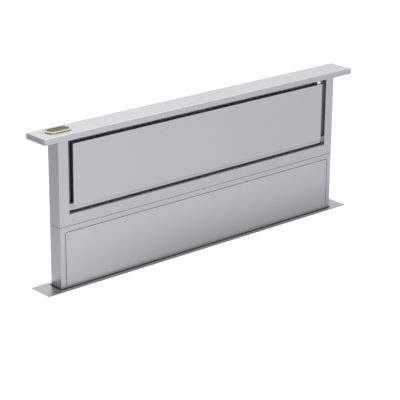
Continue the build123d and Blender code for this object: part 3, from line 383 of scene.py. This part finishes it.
def gold_painted_shade(name, node, colour):
    """Thin gold plating, worn in patches: bright on top and along the front, painted shade down its wall
    and at the back.
    """
    finish = Finish(name, Metallic=1.0)
    low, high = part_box(node)
    _, y, z = finish.axes()
    _, _, up = finish.outward()
    wear = finish.noise((260.0, 260.0, 260.0), 4.0, 0.65)
    # painted shade down the wall and at the back, on top of the patches of wear
    wall = up.ramp(0.35, 0.85, 1.0, 0.0) * z.ramp(low.z, high.z, 1.0, 0.55)
    back = y.ramp(low.y + (high.y - low.y) * 0.55, low.y + (high.y - low.y) * 0.85)
    dull = (wall.most(back) + (wear - 0.5) * 0.5).most(0.0).least(1.0)
    finish.set(
        Base_Color=finish.tint(dull, colour, shade(colour, 0.32)),
        Roughness=0.22 + dull * 0.2,
        Normal=finish.bump(wear, 0.00003, 0.3),
    )
    return finish.material


def pressed_steel(name, colour, face):
    """Sheet brushed along Z; the groove holds a dark line of painted shade, by depth behind the face."""
    finish = Finish(name, Metallic=1.0)
    _, y, _ = finish.axes()
    # painted shade in the groove, by depth behind the face
    groove_painted_shade = (y - face).ramp(0.00004, 0.00016)
    hair = finish.noise((hair_cells, hair_cells, 7.0), 4.0, 0.6)
    band = finish.noise((band_cells, band_cells, 2.5), 2.0, 0.5)
    cloud = finish.noise(cloud_cells, 3.0, 0.55)
    tone = hair * 0.5 + band * 0.25 + cloud * 0.25
    field = finish.tint(tone, shade(colour, 0.94), shade(colour, 1.06))
    line = finish.tint(band, shade(colour, groove_shade * 0.9), shade(colour, groove_shade * 1.1))
    finish.set(
        Base_Color=finish.blend(groove_painted_shade, field, line),
        Roughness=sheet_polish + (hair - 0.5) * 0.16 + (cloud - 0.5) * 0.06 + groove_painted_shade * 0.2,
        Normal=finish.bump(hair, 0.00004, 0.35),
    )
    return finish.material


def nickel_and_shade(name, edge, near, far):
    """Nickel plating, bright up to an edge along X; past it a dark steel tone that is painted shade."""
    finish = Finish(name, Metallic=1.0)
    x, _, _ = finish.axes()
    past = (x - edge).ramp(0.0, 0.0006)
    film = finish.noise((180.0, 180.0, 180.0), 3.0, 0.6)
    scratch = finish.noise((900.0, 140.0, 400.0), 3.0, 0.65)
    bright = finish.tint(film, shade(near, 0.93), shade(near, 1.05))
    # past the edge: a dark tone painted as shade on the carrier plate
    plain = finish.tint(film, shade(far, 0.85), shade(far, 1.1))
    finish.set(
        Base_Color=finish.blend(past, bright, plain),
        Roughness=0.26 + scratch * 0.12,
        Normal=finish.bump(scratch, 0.00002, 0.3),
    )
    return finish.material


def filter_channel(name, colour):
    """Folded aluminium channel: faint rolling lines along each border and dull patches of grease."""
    finish = Finish(name, Metallic=0.9)
    roll = finish.noise((60.0, 900.0, 60.0), 3.0, 0.6)
    grease = finish.noise((11.0, 40.0, 11.0), 4.0, 0.6)
    finish.set(
        Base_Color=finish.tint(roll * 0.4 + grease * 0.6, shade(colour, 0.8), shade(colour, 1.12)),
        Roughness=0.34 + grease * 0.2,
        Normal=finish.bump(roll, 0.00002, 0.3),
    )
    return finish.material


steel_tone = (0.480, 0.484, 0.500)
# brushed sheet: cells per metre across its hairlines, across its bands and in its clouds, its roughness,
# and how wide its brighter edges are, wear and painted highlight, and how much brighter
hair_cells = 1300.0
band_cells = 260.0
cloud_cells = (3.0, 5.0, 5.0)
sheet_polish = 0.31
wear_highlight_width = 0.0012
wear_highlight_gain = 0.4
# its side darkened as painted shade: tone against the outside's, how dark it still is deep inside an
# upright face, and how much rougher and less metallic it is
inner_shade = 0.22
inner_depth_light = 0.35
dark_roughness = 0.15
dull_roughness = 0.45
dull_loss = 0.6
# distances from the edge of a folded sheet over which its upright and its level inner faces change
upright_edge = (0.0006, 0.0011)
upright_depth = (0.003, 0.0055)
level_edge = (0.0004, 0.0012)
level_depth = (0.006, 0.020)
# expanded mesh: from one strand to the next but one
strand_spacing = 0.0042
# outer tone against the steel's own (a painted shade on the trim plate and hinge brackets), and which sides
# are darkened as painted shade
sheet_shade = {
    "cap_lid": (0.955, None),
    "head_frame": (0.963, "within"),
    "column_body": (0.98, "within"),
    "access_panel": (0.98, "returns"),
    # the trim plate's lower tone is painted shade
    "trim_plate": (0.71, None),
    # both hinge brackets are darkened as painted shade, the right one most
    "hinge_bracket_left": (0.85, None),
    "hinge_bracket_right": (0.45, None),
}
# finishes of single nodes, ahead of their slot's
channel_tone = (0.46, 0.47, 0.48)
own_finishes = {
    "filter_frame_left": lambda: filter_channel("filter channel left", channel_tone),
    "filter_frame_right": lambda: filter_channel("filter channel right", channel_tone),
}
# finishes of the material slots
plain_finishes = {
    # the inner steel's dark tone is painted shade of the column's inside
    "inner_steel": lambda: mill_steel("mill steel", (0.20, 0.205, 0.21)),
    "galvanised_steel": lambda: galvanised("zinc spangle", (0.56, 0.58, 0.60)),
    # the filter mesh's dark tone is painted shade behind the gaps
    "filter_aluminium": lambda: expanded_mesh("expanded mesh", (0.20, 0.205, 0.21)),
    "gold_trim": lambda: gold_painted_shade("gold rim", "badge_bezel", (0.72, 0.66, 0.44)),
    "dark_trim": lambda: enamelled("dark plate", (0.120, 0.112, 0.078), 0.06, 0.2),
    "machined_steel": lambda: machined("machined steel", (0.46, 0.46, 0.47)),
    "rail_aluminium": lambda: extruded("rail aluminium", (0.66, 0.67, 0.68)),
    "bronze": lambda: sintered("bronze", (0.56, 0.38, 0.18)),
    "black_plastic": lambda: moulded("black plastic", (0.022, 0.022, 0.024)),
    "seal_rubber": lambda: moulded("seal rubber", (0.010, 0.010, 0.011), 0.6, 0.2),
    "motor_paint": lambda: enamelled("motor enamel", (0.028, 0.028, 0.03)),
    "magnet_alloy": lambda: plated("nickel", (0.62, 0.61, 0.58)),
    "screw_steel": lambda: plated("zinc screws", (0.62, 0.63, 0.66), 0.26),
}
# pieces made here: edges that turn by more than the fold angle stay sharp, and a rounded corner of a ring
# has this many points
fold_angle = math.radians(35.0)
corner_points = 6
# access panel: how far up and how deep the bevel under its face goes, its bend, corner and wall
panel_bevel_drop = 0.0083
panel_bevel_depth = 0.0018
panel_bend = 0.0008
panel_corner = 0.0015
panel_sheet = 0.001
# lower cover: how far it stands out, its gap to the column, its borders, and its groove's width, inner
# corner and tone against the steel's, a painted shade
cover_proud = 0.00025
cover_clearance = 0.00001
cover_border_side = 0.0012
cover_border_top = 0.0053
cover_groove_width = 0.0016
groove_corner = 0.0045
groove_shade = 0.25
# seal's lip: how far it reaches from the column and how high it stands, and the column's own corner
lip_reach = 0.0038
lip_height = 0.00024
column_corner = 0.0010
# cap: the rounding of its upper edge and of its corners, and its wall
cap_edge = 0.0026
cap_corner = 0.0030
cap_sheet = 0.0012
# catch: how far its body's left and right ends lie to the left of the node's, its gap above the panel
# and behind the panel's back, its roundings, and how far its carrier plate reaches to the right
catch_left = 0.0055
catch_right = 0.0033
catch_gap = 0.0004
hook_gap = 0.0006
body_round = 0.0015
hook_round = 0.0008
carrier_round = 0.0004
carrier_reach = 0.009
# screws: points round them, the head's height, and the height of its rim as a share of that
screw_points = 24
screw_head_height = 0.0024
screw_rim = 0.45
# the recess: its half width and reach as shares of the head's radius, its depth as one of its height
recess_half_width = 0.13
recess_reach = 0.52
recess_depth = 0.5
# the shank as a share of the head's radius; the thread's depth and pitch and the point as shares of the
# shank's radius
shank_share = 0.52
thread_depth = 0.14
thread_pitch = 0.7
point_length = 0.6
# scroll: (x, z) where the volute's outer and inner faces end at its tongue, and how far the outlet's
# upper wall climbs and how thick it is
roof_tip = (0.01006, 0.17850)
volute_end = (0.00929, 0.17942)
roof_climb = 0.016
roof_sheet = 0.0012


def sheet_material(node, name=None):
    """Brushed sheet for one node, in its own tone of the steel."""
    factor, shaded_side = sheet_shade.get(node, (1.0, None))
    name = name or "brushed " + node.replace("_", " ")
    return brushed(name, node, shade(steel_tone, factor), shaded_side)


def dress_frame():
    """Gives every CAD node a finish from its material slot; each brushed sheet gets its own."""
    made = {}
    for part in frame["record"]["subparts"]:
        node, slot = part["node"], part["material_slot"]
        if node in own_finishes:
            material = own_finishes[node]()
        elif slot == "stainless":
            material = sheet_material(node)
        else:
            if slot not in made:
                made[slot] = plain_finishes[slot]()
            material = made[slot]
        shell = frame["nodes"][node]
        shell.data.materials.clear()
        shell.data.materials.append(material)


# ---------------------------------------------------------------- surfaces
def ring(low_u, high_u, low_v, high_v, corner):
    """Points round a rectangle whose corners are quarter circles, each in equal angles."""
    turn = np.linspace(0.0, math.pi / 2, corner_points)
    angle = (np.arange(4)[:, None] * (math.pi / 2) + turn).ravel()
    centre_u = np.repeat([high_u - corner, low_u + corner, low_u + corner, high_u - corner], corner_points)
    centre_v = np.repeat([high_v - corner, high_v - corner, low_v + corner, low_v + corner], corner_points)
    return np.stack([centre_u + corner * np.cos(angle), centre_v + corner * np.sin(angle)], axis=1)


def upright(points, y):
    """A ring's two numbers as X and Z, at one Y."""
    return np.stack([points[:, 0], np.full(len(points), y), points[:, 1]], axis=1)


def level(points, z):
    """A ring's two numbers as X and Y, at one height."""
    return np.stack([points[:, 0], points[:, 1], np.full(len(points), z)], axis=1)


def stacked(rings, first=True, last=True, closed=False):
    """Shell through a stack of rings with as many points each: quads between rings, and flat ends.

    Upright rings run from the back to the front and level ones from below to above, to face outwards.
    """
    points = np.array(rings)
    layers, around = points.shape[:2]
    index = np.arange(layers * around).reshape(layers, around)
    below, above = (index, np.roll(index, -1, axis=0)) if closed else (index[:-1], index[1:])
    quads = np.stack([below, np.roll(below, -1, axis=1), np.roll(above, -1, axis=1), above], axis=-1)
    faces = quads.reshape(-1, 4).tolist()
    if not closed:
        faces += [index[0, ::-1].tolist()] if first else []
        faces += [index[-1].tolist()] if last else []
    return points.reshape(-1, 3), faces


def piece(name, shells, body, material, replaced=(), wall=0.0):
    """Object from one or more shells; it rides on a body and stands for the CAD nodes it replaces."""
    points, faces = [], []
    for shell_points, shell_faces in shells:
        start = sum(len(block) for block in points)
        faces += [[start + corner for corner in face] for face in shell_faces]
        points.append(shell_points)
    mesh = bpy.data.meshes.new(name)
    mesh.from_pydata(np.concatenate(points).tolist(), [], faces)
    mesh.shade_smooth()
    mesh.set_sharp_from_angle(angle=fold_angle)
    mesh.materials.append(material)
    made = bpy.data.objects.new(name, mesh)
    bpy.context.scene.collection.objects.link(made)
    if wall:
        sheet = made.modifiers.new("sheet", "SOLIDIFY")
        sheet.thickness = wall
        sheet.offset = -1.0
        sheet.use_even_offset = True
    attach(made, body)
    if replaced:
        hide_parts(*replaced)
    return made


def islands(node):
    """Lowest and highest corner of each separate solid in a CAD node, as a list of pairs.

    Every vertex takes the lowest label that its triangles hold, until no label changes.
    """
    mesh = frame["nodes"][node].data
    flat = np.empty(len(mesh.vertices) * 3)
    mesh.vertices.foreach_get("co", flat)
    spots, where = np.unique(flat.reshape(-1, 3).round(5), axis=0, return_inverse=True)
    corners = np.empty(len(mesh.loops), dtype=int)
    mesh.loops.foreach_get("vertex_index", corners)
    triangles = where.ravel()[corners].reshape(-1, 3)
    label = np.arange(len(spots))
    while True:
        lowest = label[triangles].min(axis=1)
        spread = label.copy()
        np.minimum.at(spread, triangles.ravel(), np.repeat(lowest, 3))
        if (spread == label).all():
            break
        label = spread
    solids = [spots[label == mark] for mark in np.unique(label)]
    return [(solid.min(axis=0), solid.max(axis=0)) for solid in solids]


# ---------------------------------------------------------------- pieces
def make_panel_shell():
    """Access panel as a pressed pan: rings from the back of its returns to its face.

    The ring's lower side climbs from ring to ring, which makes the bevel along the bottom fold.
    """
    low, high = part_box("access_panel")
    bend, drop, bevel = panel_bend, panel_bevel_drop, panel_bevel_depth
    # depth from the face, how far in the sides are, how far up the lower side is
    steps = [
        (high.y - low.y, 0.0, 0.0), (bevel + 0.0004, 0.0, 0.0), (bevel, 0.0, 0.0003),
        (bend, 0.0, drop - 0.0022), (bend * 0.3, bend * 0.3, drop - 0.0007),
        (0.0, bend, drop), (0.0, 2 * bend, drop + bend),
    ]
    rings = []
    for depth, side, rise in steps:
        bottom = low.z + max(side, rise)
        outline = ring(low.x + side, high.x - side, bottom, high.z - side, panel_corner)
        rings.append(upright(outline, low.y + depth))
    finish = sheet_material("access_panel")
    shell = stacked(rings, first=False)
    return piece("panel_shell", [shell], "panel", finish, ["access_panel"], wall=panel_sheet)


def make_pressed_cover():
    """Cover on the column's lower front: a thin pressing with a groove round its field.

    Its section, from the foot on the column over the border and the groove to the field, is carried
    round a rounded rectangle whose side and top borders differ.
    """
    low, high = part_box("lower_front_cover")
    column_low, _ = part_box("column_body")
    face = column_low.y
    side, top, groove = cover_border_side, cover_border_top, cover_groove_width
    # inset of the sides, of the top, of the bottom, the corner's radius, and depth behind the face
    section = [
        (0.0, 0.0, 0.0, 0.0030, 0.0),
        (0.0, 0.0, 0.0, 0.0030, -cover_proud * 0.6),
        (0.0002, 0.0002, 0.0002, 0.0028, -cover_proud),
        (side, top, 0.002, groove_corner + groove, -cover_proud),
        (side + groove * 0.2, top + groove * 0.2, 0.0022, groove_corner + groove * 0.8, 0.0),
        (side + groove * 0.8, top + groove * 0.8, 0.003, groove_corner + groove * 0.2, 0.0),
        (side + groove, top + groove, 0.0034, groove_corner, -cover_proud),
        (side + 1.5 * groove, top + 1.5 * groove, 0.0042, groove_corner, -cover_proud),
    ]
    rings = []
    for in_side, in_top, in_bottom, corner, depth in section:
        outline = ring(low.x + in_side, high.x - in_side, low.z + in_bottom, high.z - in_top, corner)
        rings.append(upright(outline, face + depth - cover_clearance))
    finish = pressed_steel("brushed front cover", steel_tone, face - cover_proud)
    return piece("pressed_cover", [stacked(rings)], "column", finish, ["lower_front_cover"])


def make_seal_lip():
    """Rubber lip on the slot's edge: its low dome is carried round the column's rounded outline."""
    low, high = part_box("column_body")
    # distance out from the column, and height above the trim plate
    section = [
        (0.00040, -0.0020), (0.00105, -0.0020), (0.00115, -0.0001), (0.00125, 0.00002),
        (lip_reach, 0.00002), (lip_reach - 0.0001, 0.00012), (lip_reach - 0.0009, lip_height),
        (0.0012, lip_height), (0.00055, lip_height * 0.7), (0.00040, 0.0),
    ]
    rings = []
    for out, rise in section:
        outline = ring(low.x - out, high.x + out, low.y - out, high.y + out, column_corner + out)
        rings.append(level(outline, plate_high.z + rise))
    finish = plain_finishes["seal_rubber"]()
    return piece("seal_lip", [stacked(rings, closed=True)], "base", finish)


def rounded_block(low, high, radius):
    """Block with a rounded front: towards it the ring shrinks by r(1 - cos a) and comes forward by r sin a.

    The ring and its corners shrink by a little less than that, so that no corner comes to a point.
    """
    held = 0.9
    rings = [upright(ring(low[0], high[0], low[2], high[2], radius), high[1])]
    for angle in np.linspace(0.0, math.pi / 2, 5):
        inset = radius * (1 - math.cos(angle)) * held
        corner = radius - inset * held
        outline = ring(low[0] + inset, high[0] - inset, low[2] + inset, high[2] - inset, corner)
        rings.append(upright(outline, low[1] + radius * (1 - math.sin(angle))))
    return stacked(rings)


def make_catch():
    """Catch under the lintel: a rounded body, the hook behind the panel's return, and its carrier plate."""
    low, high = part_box("panel_catch")
    _, panel_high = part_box("access_panel")
    left, right = low.x - catch_left, high.x - catch_right
    foot = panel_high.z + catch_gap
    body = rounded_block((left, low.y + 0.0002, foot), (right, high.y, high.z - 0.0001), body_round)
    hook_front = panel_high.y + hook_gap
    hook = rounded_block((left, hook_front, low.z), (right, high.y - 0.0001, foot + 0.002), hook_round)
    carrier_low = (right - 0.001, low.y + 0.004, foot)
    carrier_high = (right + carrier_reach, high.y - 0.0002, high.z - 0.0002)
    carrier = rounded_block(carrier_low, carrier_high, carrier_round)
    # past the edge, the carrier plate's dark tone is painted shade
    finish = nickel_and_shade("panel catch", right - 0.0003, (0.70, 0.70, 0.71), (0.20, 0.20, 0.21))
    return piece("catch", [body, hook, carrier], "column", finish, ["panel_catch"])


def make_cap_shell():
    """Cap lid as a folded tray: level rings climb its wall and turn over a rounded edge to the top.

    Along the edge the ring shrinks by r(1 - cos a) while it rises by r sin a.
    """
    low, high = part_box("cap_lid")
    # how far the ring is in, its corner's radius, and its height
    steps = [
        (0.0016, cap_corner - 0.0016, low.z), (0.0005, cap_corner - 0.0005, low.z),
        (0.0, cap_corner, low.z + 0.0005),
    ]
    for angle in np.linspace(0.0, math.pi / 2, 6):
        inset = cap_edge * (1 - math.cos(angle))
        steps.append((inset, cap_corner - inset, high.z - cap_edge * (1 - math.sin(angle))))
    steps.append((cap_edge + 0.0006, cap_corner - cap_edge, high.z))
    rings = []
    for inset, corner, height in steps:
        outline = ring(low.x + inset, high.x - inset, low.y + inset, high.y - inset, corner)
        rings.append(level(outline, height))
    finish = sheet_material("cap_lid", "brushed cap")
    shell = stacked(rings, first=False)
    return piece("cap_shell", [shell], "column", finish, ["cap_lid"], wall=cap_sheet)


def screw_shell(seat, drive, head_radius, length):
    """Pan head screw as one turned surface: radius and height are functions of way and turn.

    The way runs from the head's middle over its dome, under it and down the thread to the point. Inside
    a cross the dome sinks to the recess, and the shank's radius ripples so that its crests climb a helix.
    """
    around, shank_radius = screw_points, head_radius * shank_share
    turn = np.linspace(0.0, 2 * math.pi, around, endpoint=False)
    out = np.array([0.0, 0.14, 0.28, 0.42, 0.5, 0.7, 0.88, 1.0]) * head_radius
    dome = screw_head_height * (screw_rim + (1 - screw_rim) * np.sqrt(1 - (out / head_radius) ** 3))
    radius = np.repeat(out[:, None], around, axis=1)
    height = np.repeat(dome[:, None], around, axis=1)
    nearest = np.minimum(abs(radius * np.cos(turn)), abs(radius * np.sin(turn)))
    cross = (nearest < head_radius * recess_half_width) & (radius < head_radius * recess_reach)
    height = height - np.where(cross, screw_head_height * recess_depth, 0.0)
    rows = max(4, int(length / shank_radius * 6))
    down = np.linspace(0.0, length, rows)[:, None]
    pitch = shank_radius * thread_pitch
    ripple = abs((down / pitch + turn / (2 * math.pi)) % 1.0 - 0.5) * 2
    shank = shank_radius * (1 - thread_depth + thread_depth * ripple)
    radius = np.concatenate([radius, np.full((1, around), head_radius), shank, np.zeros((1, around))])
    point = np.full((1, around), -length - shank_radius * point_length)
    height = np.concatenate([height, np.zeros((1, around)), -down + 0.0 * turn, point])
    axis = np.array(drive, dtype=float)
    first = np.cross(axis, [0.0, 1.0, 0.0] if abs(axis[1]) < 0.9 else [1.0, 0.0, 0.0])
    first /= np.linalg.norm(first)
    second = np.cross(axis, first)
    spokes = np.cos(turn)[:, None] * first + np.sin(turn)[:, None] * second
    points = np.array(seat) + radius[..., None] * spokes + height[..., None] * axis
    return stacked(points[::-1], first=False, last=False)


def make_screws(name, node, body, drive_of):
    """Replaces a node's plain screws: each stands where its own solid stands.

    The head and its recess look the way that drive_of gives for the screw's place.
    """
    shells = []
    for low, high in islands(node):
        middle, size = (low + high) / 2, high - low
        drive = np.array(drive_of(middle))
        along = int(np.argmax(abs(drive)))
        head_radius = (size.sum() - size[along]) / 4
        length = size[along] - screw_head_height
        seat = middle + drive * (size[along] / 2 - screw_head_height)
        shells.append(screw_shell(seat, drive, head_radius, length))
    finish = plain_finishes["screw_steel"]()
    return piece(name, shells, body, finish, [node])


def make_outlet_roof():
    """Upper wall of the scroll's outlet: it climbs in a straight line from the tongue to the transition.

    Its foot is a half circle that closes the tongue, from the volute's inner face to the wall's underside.
    """
    low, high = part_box("scroll_body")
    tip_x, tip_z = roof_tip
    below = (tip_x, tip_z - roof_sheet)
    middle = ((volute_end[0] + below[0]) / 2, (volute_end[1] + below[1]) / 2)
    radius = math.dist(volute_end, below) / 2
    first = math.atan2(volute_end[1] - middle[1], volute_end[0] - middle[0])
    nose = [
        (middle[0] + radius * math.cos(first + turn), middle[1] + radius * math.sin(first + turn))
        for turn in np.linspace(0.0, math.pi, 9)
    ]
    end = tip_z + roof_climb
    outline = np.array([*nose, (high.x, end - roof_sheet), (high.x, end), roof_tip])
    rings = [upright(outline, y) for y in (high.y, low.y + roof_sheet)]
    finish = plain_finishes["galvanised_steel"]()
    return piece("outlet_roof", [stacked(rings)], "base", finish)


def away_from_middle(place):
    """The head of a screw at this place looks to the nearer end of the vent."""
    return math.copysign(1.0, place[0]), 0.0, 0.0


def downwards(place):
    """The head of a screw looks down, wherever it stands."""
    return 0.0, 0.0, -1.0


def make_pieces():
    """The pieces that stand in for plain nodes, and the seal's lip and the outlet's roof."""
    make_panel_shell()
    make_pressed_cover()
    make_seal_lip()
    make_catch()
    make_cap_shell()
    make_outlet_roof()
    make_screws("cap_screw_set", "cap_screws", "column", downwards)
    make_screws("leg_screw_set", "leg_screws", "base", away_from_middle)


# ---------------------------------------------------------------- stage, light, camera
plate_low, plate_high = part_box("trim_plate")
column_y = (plate_low.y + plate_high.y) / 2
# trim plate: its sheet, and the gap that is kept between it and the worktop
plate_sheet = 0.0015
plate_clearance = 0.0003
worktop_level = plate_high.z - plate_sheet - plate_clearance
# camera: its place, its direction and roll in radians, its lens and sensor in millimetres, and its reach
camera_place = (-2.23254, -2.44561, 1.98326)
camera_azimuth = -0.7251
camera_height = 0.3386
camera_roll = 0.0078
camera_lens = 139.4
camera_sensor = 36.0
camera_clip = 60.0
# grey card seen only in reflections: two opposite corners, and its height above the worktop
card_span = (-2.2, -1.6, 2.2, 1.9)
card_rise = 0.0004
# in front of the column, a painted shadow at its foot: where its tone goes from left to right, both tones,
# the distances over which the card brightens, and how fast it darkens to the right
card_foot_span = (-0.45, 0.05)
card_foot_left = 0.98
card_foot_right = 0.62
card_front_fade = (0.02, 0.26)
card_front_middle = 1.10
card_front_slope = 0.148
card_far_fade = (0.60, 1.00)
card_far_gain = 0.09
# beside the column's left end, a painted shade: where it begins along X and along Y, and how it fades to
# the left
card_left_edge = (0.43, 0.46)
card_left_depth = (-0.06, 0.10)
card_side_start = 0.44
card_side_fade = (0.0, 0.75)
card_foot_side = 0.80
card_side_far = 0.59
# dark screen behind the left end, seen only in reflections: its lower corners, its levels and its tone
screen_corners = ((-2.5, 0.9), (-0.9, 2.5))
screen_levels = (0.78, 2.3)
screen_tone = 0.62
# floor, and how bright it and the worktop are by themselves and in light
floor_span = (-9.0, -9.0, 9.0, 9.0)
floor_level = -0.0004
stage_glow = 0.84
stage_albedo = 0.5
# worktop: how far it lies past the housing in front, at its left and right and behind, how far it
# reaches towards the camera from the housing's ends, and its rise per metre
worktop_front = 0.0012
worktop_left = 0.0008
worktop_right = 0.008
worktop_back = 0.001
worktop_reach_right = 1.15
worktop_reach_left = 0.80
worktop_rise = 0.0145
# kinds of ray that see the stage's own brightness; all others see a softer light
seen_rays = ("Is Camera Ray", "Is Glossy Ray", "Is Transmission Ray")
# world: colour and strength as a source of light, and as it is seen
world_light = ((0.97, 0.98, 1.0, 1.0), 0.45)
world_seen = ((1.0, 1.0, 1.0, 1.0), 1.0)
# lamps: place, the point they aim at, width and height, and power in watts
lamps = {
    "key": ((0.9, 1.6, 3.0), (0.0, 0.07, 0.9), (3.0, 2.2), 26.0),
    "fill": ((-0.8, -2.6, 2.6), (0.0, 0.07, 0.7), (3.0, 2.0), 45.0),
}


def stage_finish(name, glow, albedo):
    """White that glows for the camera and in reflections, and takes a soft shadow."""
    finish = Finish(name)
    camera_ray, glossy_ray, clear_ray = [finish.add("ShaderNodeLightPath", out=kind) for kind in seen_rays]
    seen = camera_ray.most(glossy_ray).most(clear_ray)
    finish.set(Base_Color=(albedo, albedo, albedo, 1.0), Roughness=1.0, Specular_IOR_Level=0.0)
    finish.set(Emission_Color=(1.0, 1.0, 1.0, 1.0), Emission_Strength=seen * glow)
    return finish.material


def towards_camera(x, y, reach):
    """Point of a horizontal line from a place to the camera, at a distance from the place."""
    away = (camera_place[0] - x, camera_place[1] - y)
    length = math.hypot(*away)
    return x + away[0] / length * reach, y + away[1] / length * reach


def polygon(name, corners, material):
    """Flat stage piece between corners."""
    mesh = bpy.data.meshes.new(name)
    mesh.from_pydata(corners, [], [tuple(range(len(corners)))])
    mesh.materials.append(material)
    flat = bpy.data.objects.new(name, mesh)
    bpy.context.scene.collection.objects.link(flat)
    return flat


def level_rectangle(name, span, height, material):
    """Level stage piece between two opposite corners."""
    x0, y0, x1, y1 = span
    return polygon(name, [(x, y, height) for x, y in ((x0, y0), (x1, y0), (x1, y1), (x0, y1))], material)


def card_finish():
    """Grey card: painted shadow beside the column's foot and painted shade behind its left end, white
    further out.

    It shows its upper side only, so that pieces below the worktop reflect the room instead.
    """
    finish = Finish("grey card")
    x, y, _ = finish.axes()
    ahead = (column_y - y).ramp(*card_front_fade)
    foot = x.ramp(*card_foot_span, card_foot_left, card_foot_right)
    front = foot + (card_front_middle - x * card_front_slope - foot) * ahead
    front = front + (column_y - y).ramp(*card_far_fade, 0.0, card_far_gain)
    beside = (-card_side_start - x).ramp(*card_side_fade, card_foot_side, card_side_far)
    left = (0.0 - x).ramp(*card_left_edge) * (y - column_y).ramp(*card_left_depth)
    tone = front * (1 - left) + beside * left
    under = finish.add("ShaderNodeNewGeometry", out="Backfacing")
    glow = finish.add("ShaderNodeEmission", sockets={"Strength": tone})
    clear = finish.add("ShaderNodeBsdfTransparent")
    shown = finish.add("ShaderNodeMixShader", sockets={0: under, 1: glow, 2: clear})
    finish.tree.nodes.remove(finish.shader)
    finish.join(finish.output.inputs["Surface"], shown)
    return finish.material


def screen_finish():
    """Even dark grey that gives the same tone from everywhere."""
    finish = Finish("dark screen")
    glow = finish.add("ShaderNodeEmission", sockets={"Strength": screen_tone})
    finish.tree.nodes.remove(finish.shader)
    finish.join(finish.output.inputs["Surface"], glow)
    return finish.material


def make_stage():
    """Pale floor, and the worktop that the trim plate rests on, cut short to the view's own edges."""
    white = stage_finish("studio white", stage_glow, stage_albedo)
    floor = level_rectangle("studio_floor", floor_span, floor_level, white)
    housing_low, housing_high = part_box("housing_rear")
    front, back = housing_low.y - worktop_front, housing_high.y + worktop_back
    left, right = housing_low.x - worktop_left, housing_high.x + worktop_right
    outline = [
        (right, front), (left, front), (left, back),
        towards_camera(left, back, worktop_reach_left), towards_camera(right, front, worktop_reach_right),
    ]
    corners = [(x, y, worktop_level + worktop_rise * max(0.0, front - y)) for x, y in outline]
    worktop = polygon("studio_worktop", corners, white)
    worktop.visible_glossy = False
    card = level_rectangle("studio_card", card_span, worktop_level + card_rise, card_finish())
    (x0, y0), (x1, y1) = screen_corners
    low, high = screen_levels
    corners = [(x0, y0, low), (x1, y1, low), (x1, y1, high), (x0, y0, high)]
    screen = polygon("studio_screen", corners, screen_finish())
    for hidden in (card, screen):
        hidden.visible_camera = hidden.visible_diffuse = hidden.visible_shadow = False
        hidden.visible_transmission = hidden.visible_volume_scatter = False


def make_world():
    """White for the camera and for reflections, softer grey as a source of light."""
    world = bpy.data.worlds.new("studio")
    world.use_nodes = True
    bpy.context.scene.world = world
    tree = world.node_tree
    tree.nodes.clear()
    output = tree.nodes.new("ShaderNodeOutputWorld")
    path = tree.nodes.new("ShaderNodeLightPath")
    seen = path.outputs[seen_rays[0]]
    for kind in seen_rays[1:]:
        either = tree.nodes.new("ShaderNodeMath")
        either.operation = "MAXIMUM"
        tree.links.new(seen, either.inputs[0])
        tree.links.new(path.outputs[kind], either.inputs[1])
        seen = either.outputs[0]
    mix = tree.nodes.new("ShaderNodeMixShader")
    tree.links.new(seen, mix.inputs[0])
    for socket, (colour, strength) in zip(mix.inputs[1:], (world_light, world_seen)):
        light = tree.nodes.new("ShaderNodeBackground")
        light.inputs["Color"].default_value = colour
        light.inputs["Strength"].default_value = strength
        tree.links.new(light.outputs[0], socket)
    tree.links.new(mix.outputs[0], output.inputs["Surface"])


def soft_box(name, place, target, size, power):
    """Rectangular lamp aimed at a point."""
    lamp = bpy.data.lights.new(name, "AREA")
    lamp.shape = "RECTANGLE"
    lamp.size, lamp.size_y = size
    lamp.energy = power
    holder = bpy.data.objects.new(name, lamp)
    bpy.context.scene.collection.objects.link(holder)
    holder.location = place
    aim = np.subtract(target, place)
    flat = math.hypot(aim[0], aim[1])
    holder.rotation_euler = (math.atan2(flat, -aim[2]), 0.0, math.atan2(-aim[0], aim[1]))


def make_lights():
    """Both lamps, from their table."""
    for name, numbers in lamps.items():
        soft_box(name, *numbers)


def make_camera():
    """Stands where the photograph was taken from; its axes come from azimuth, height and roll."""
    flat, rise = math.cos(camera_height), math.sin(camera_height)
    back = np.array([math.sin(camera_azimuth) * flat, -math.cos(camera_azimuth) * flat, rise])
    right = np.cross(-back, [0.0, 0.0, 1.0])
    right /= np.linalg.norm(right)
    above = np.cross(right, -back)
    side = math.cos(camera_roll) * right + math.sin(camera_roll) * above
    top = -math.sin(camera_roll) * right + math.cos(camera_roll) * above
    data = bpy.data.cameras.new("camera")
    data.lens = camera_lens
    data.sensor_width = camera_sensor
    data.clip_end = camera_clip
    camera = bpy.data.objects.new("camera", data)
    bpy.context.scene.collection.objects.link(camera)
    rows = [[side[i], top[i], back[i], camera_place[i]] for i in range(3)] + [[0.0, 0.0, 0.0, 1.0]]
    camera.matrix_world = Matrix(rows)
    bpy.context.scene.camera = camera


make_camera()
make_world()
make_lights()
make_stage()
dress_frame()
make_pieces()
bpy.context.scene.view_settings.view_transform = "Standard"
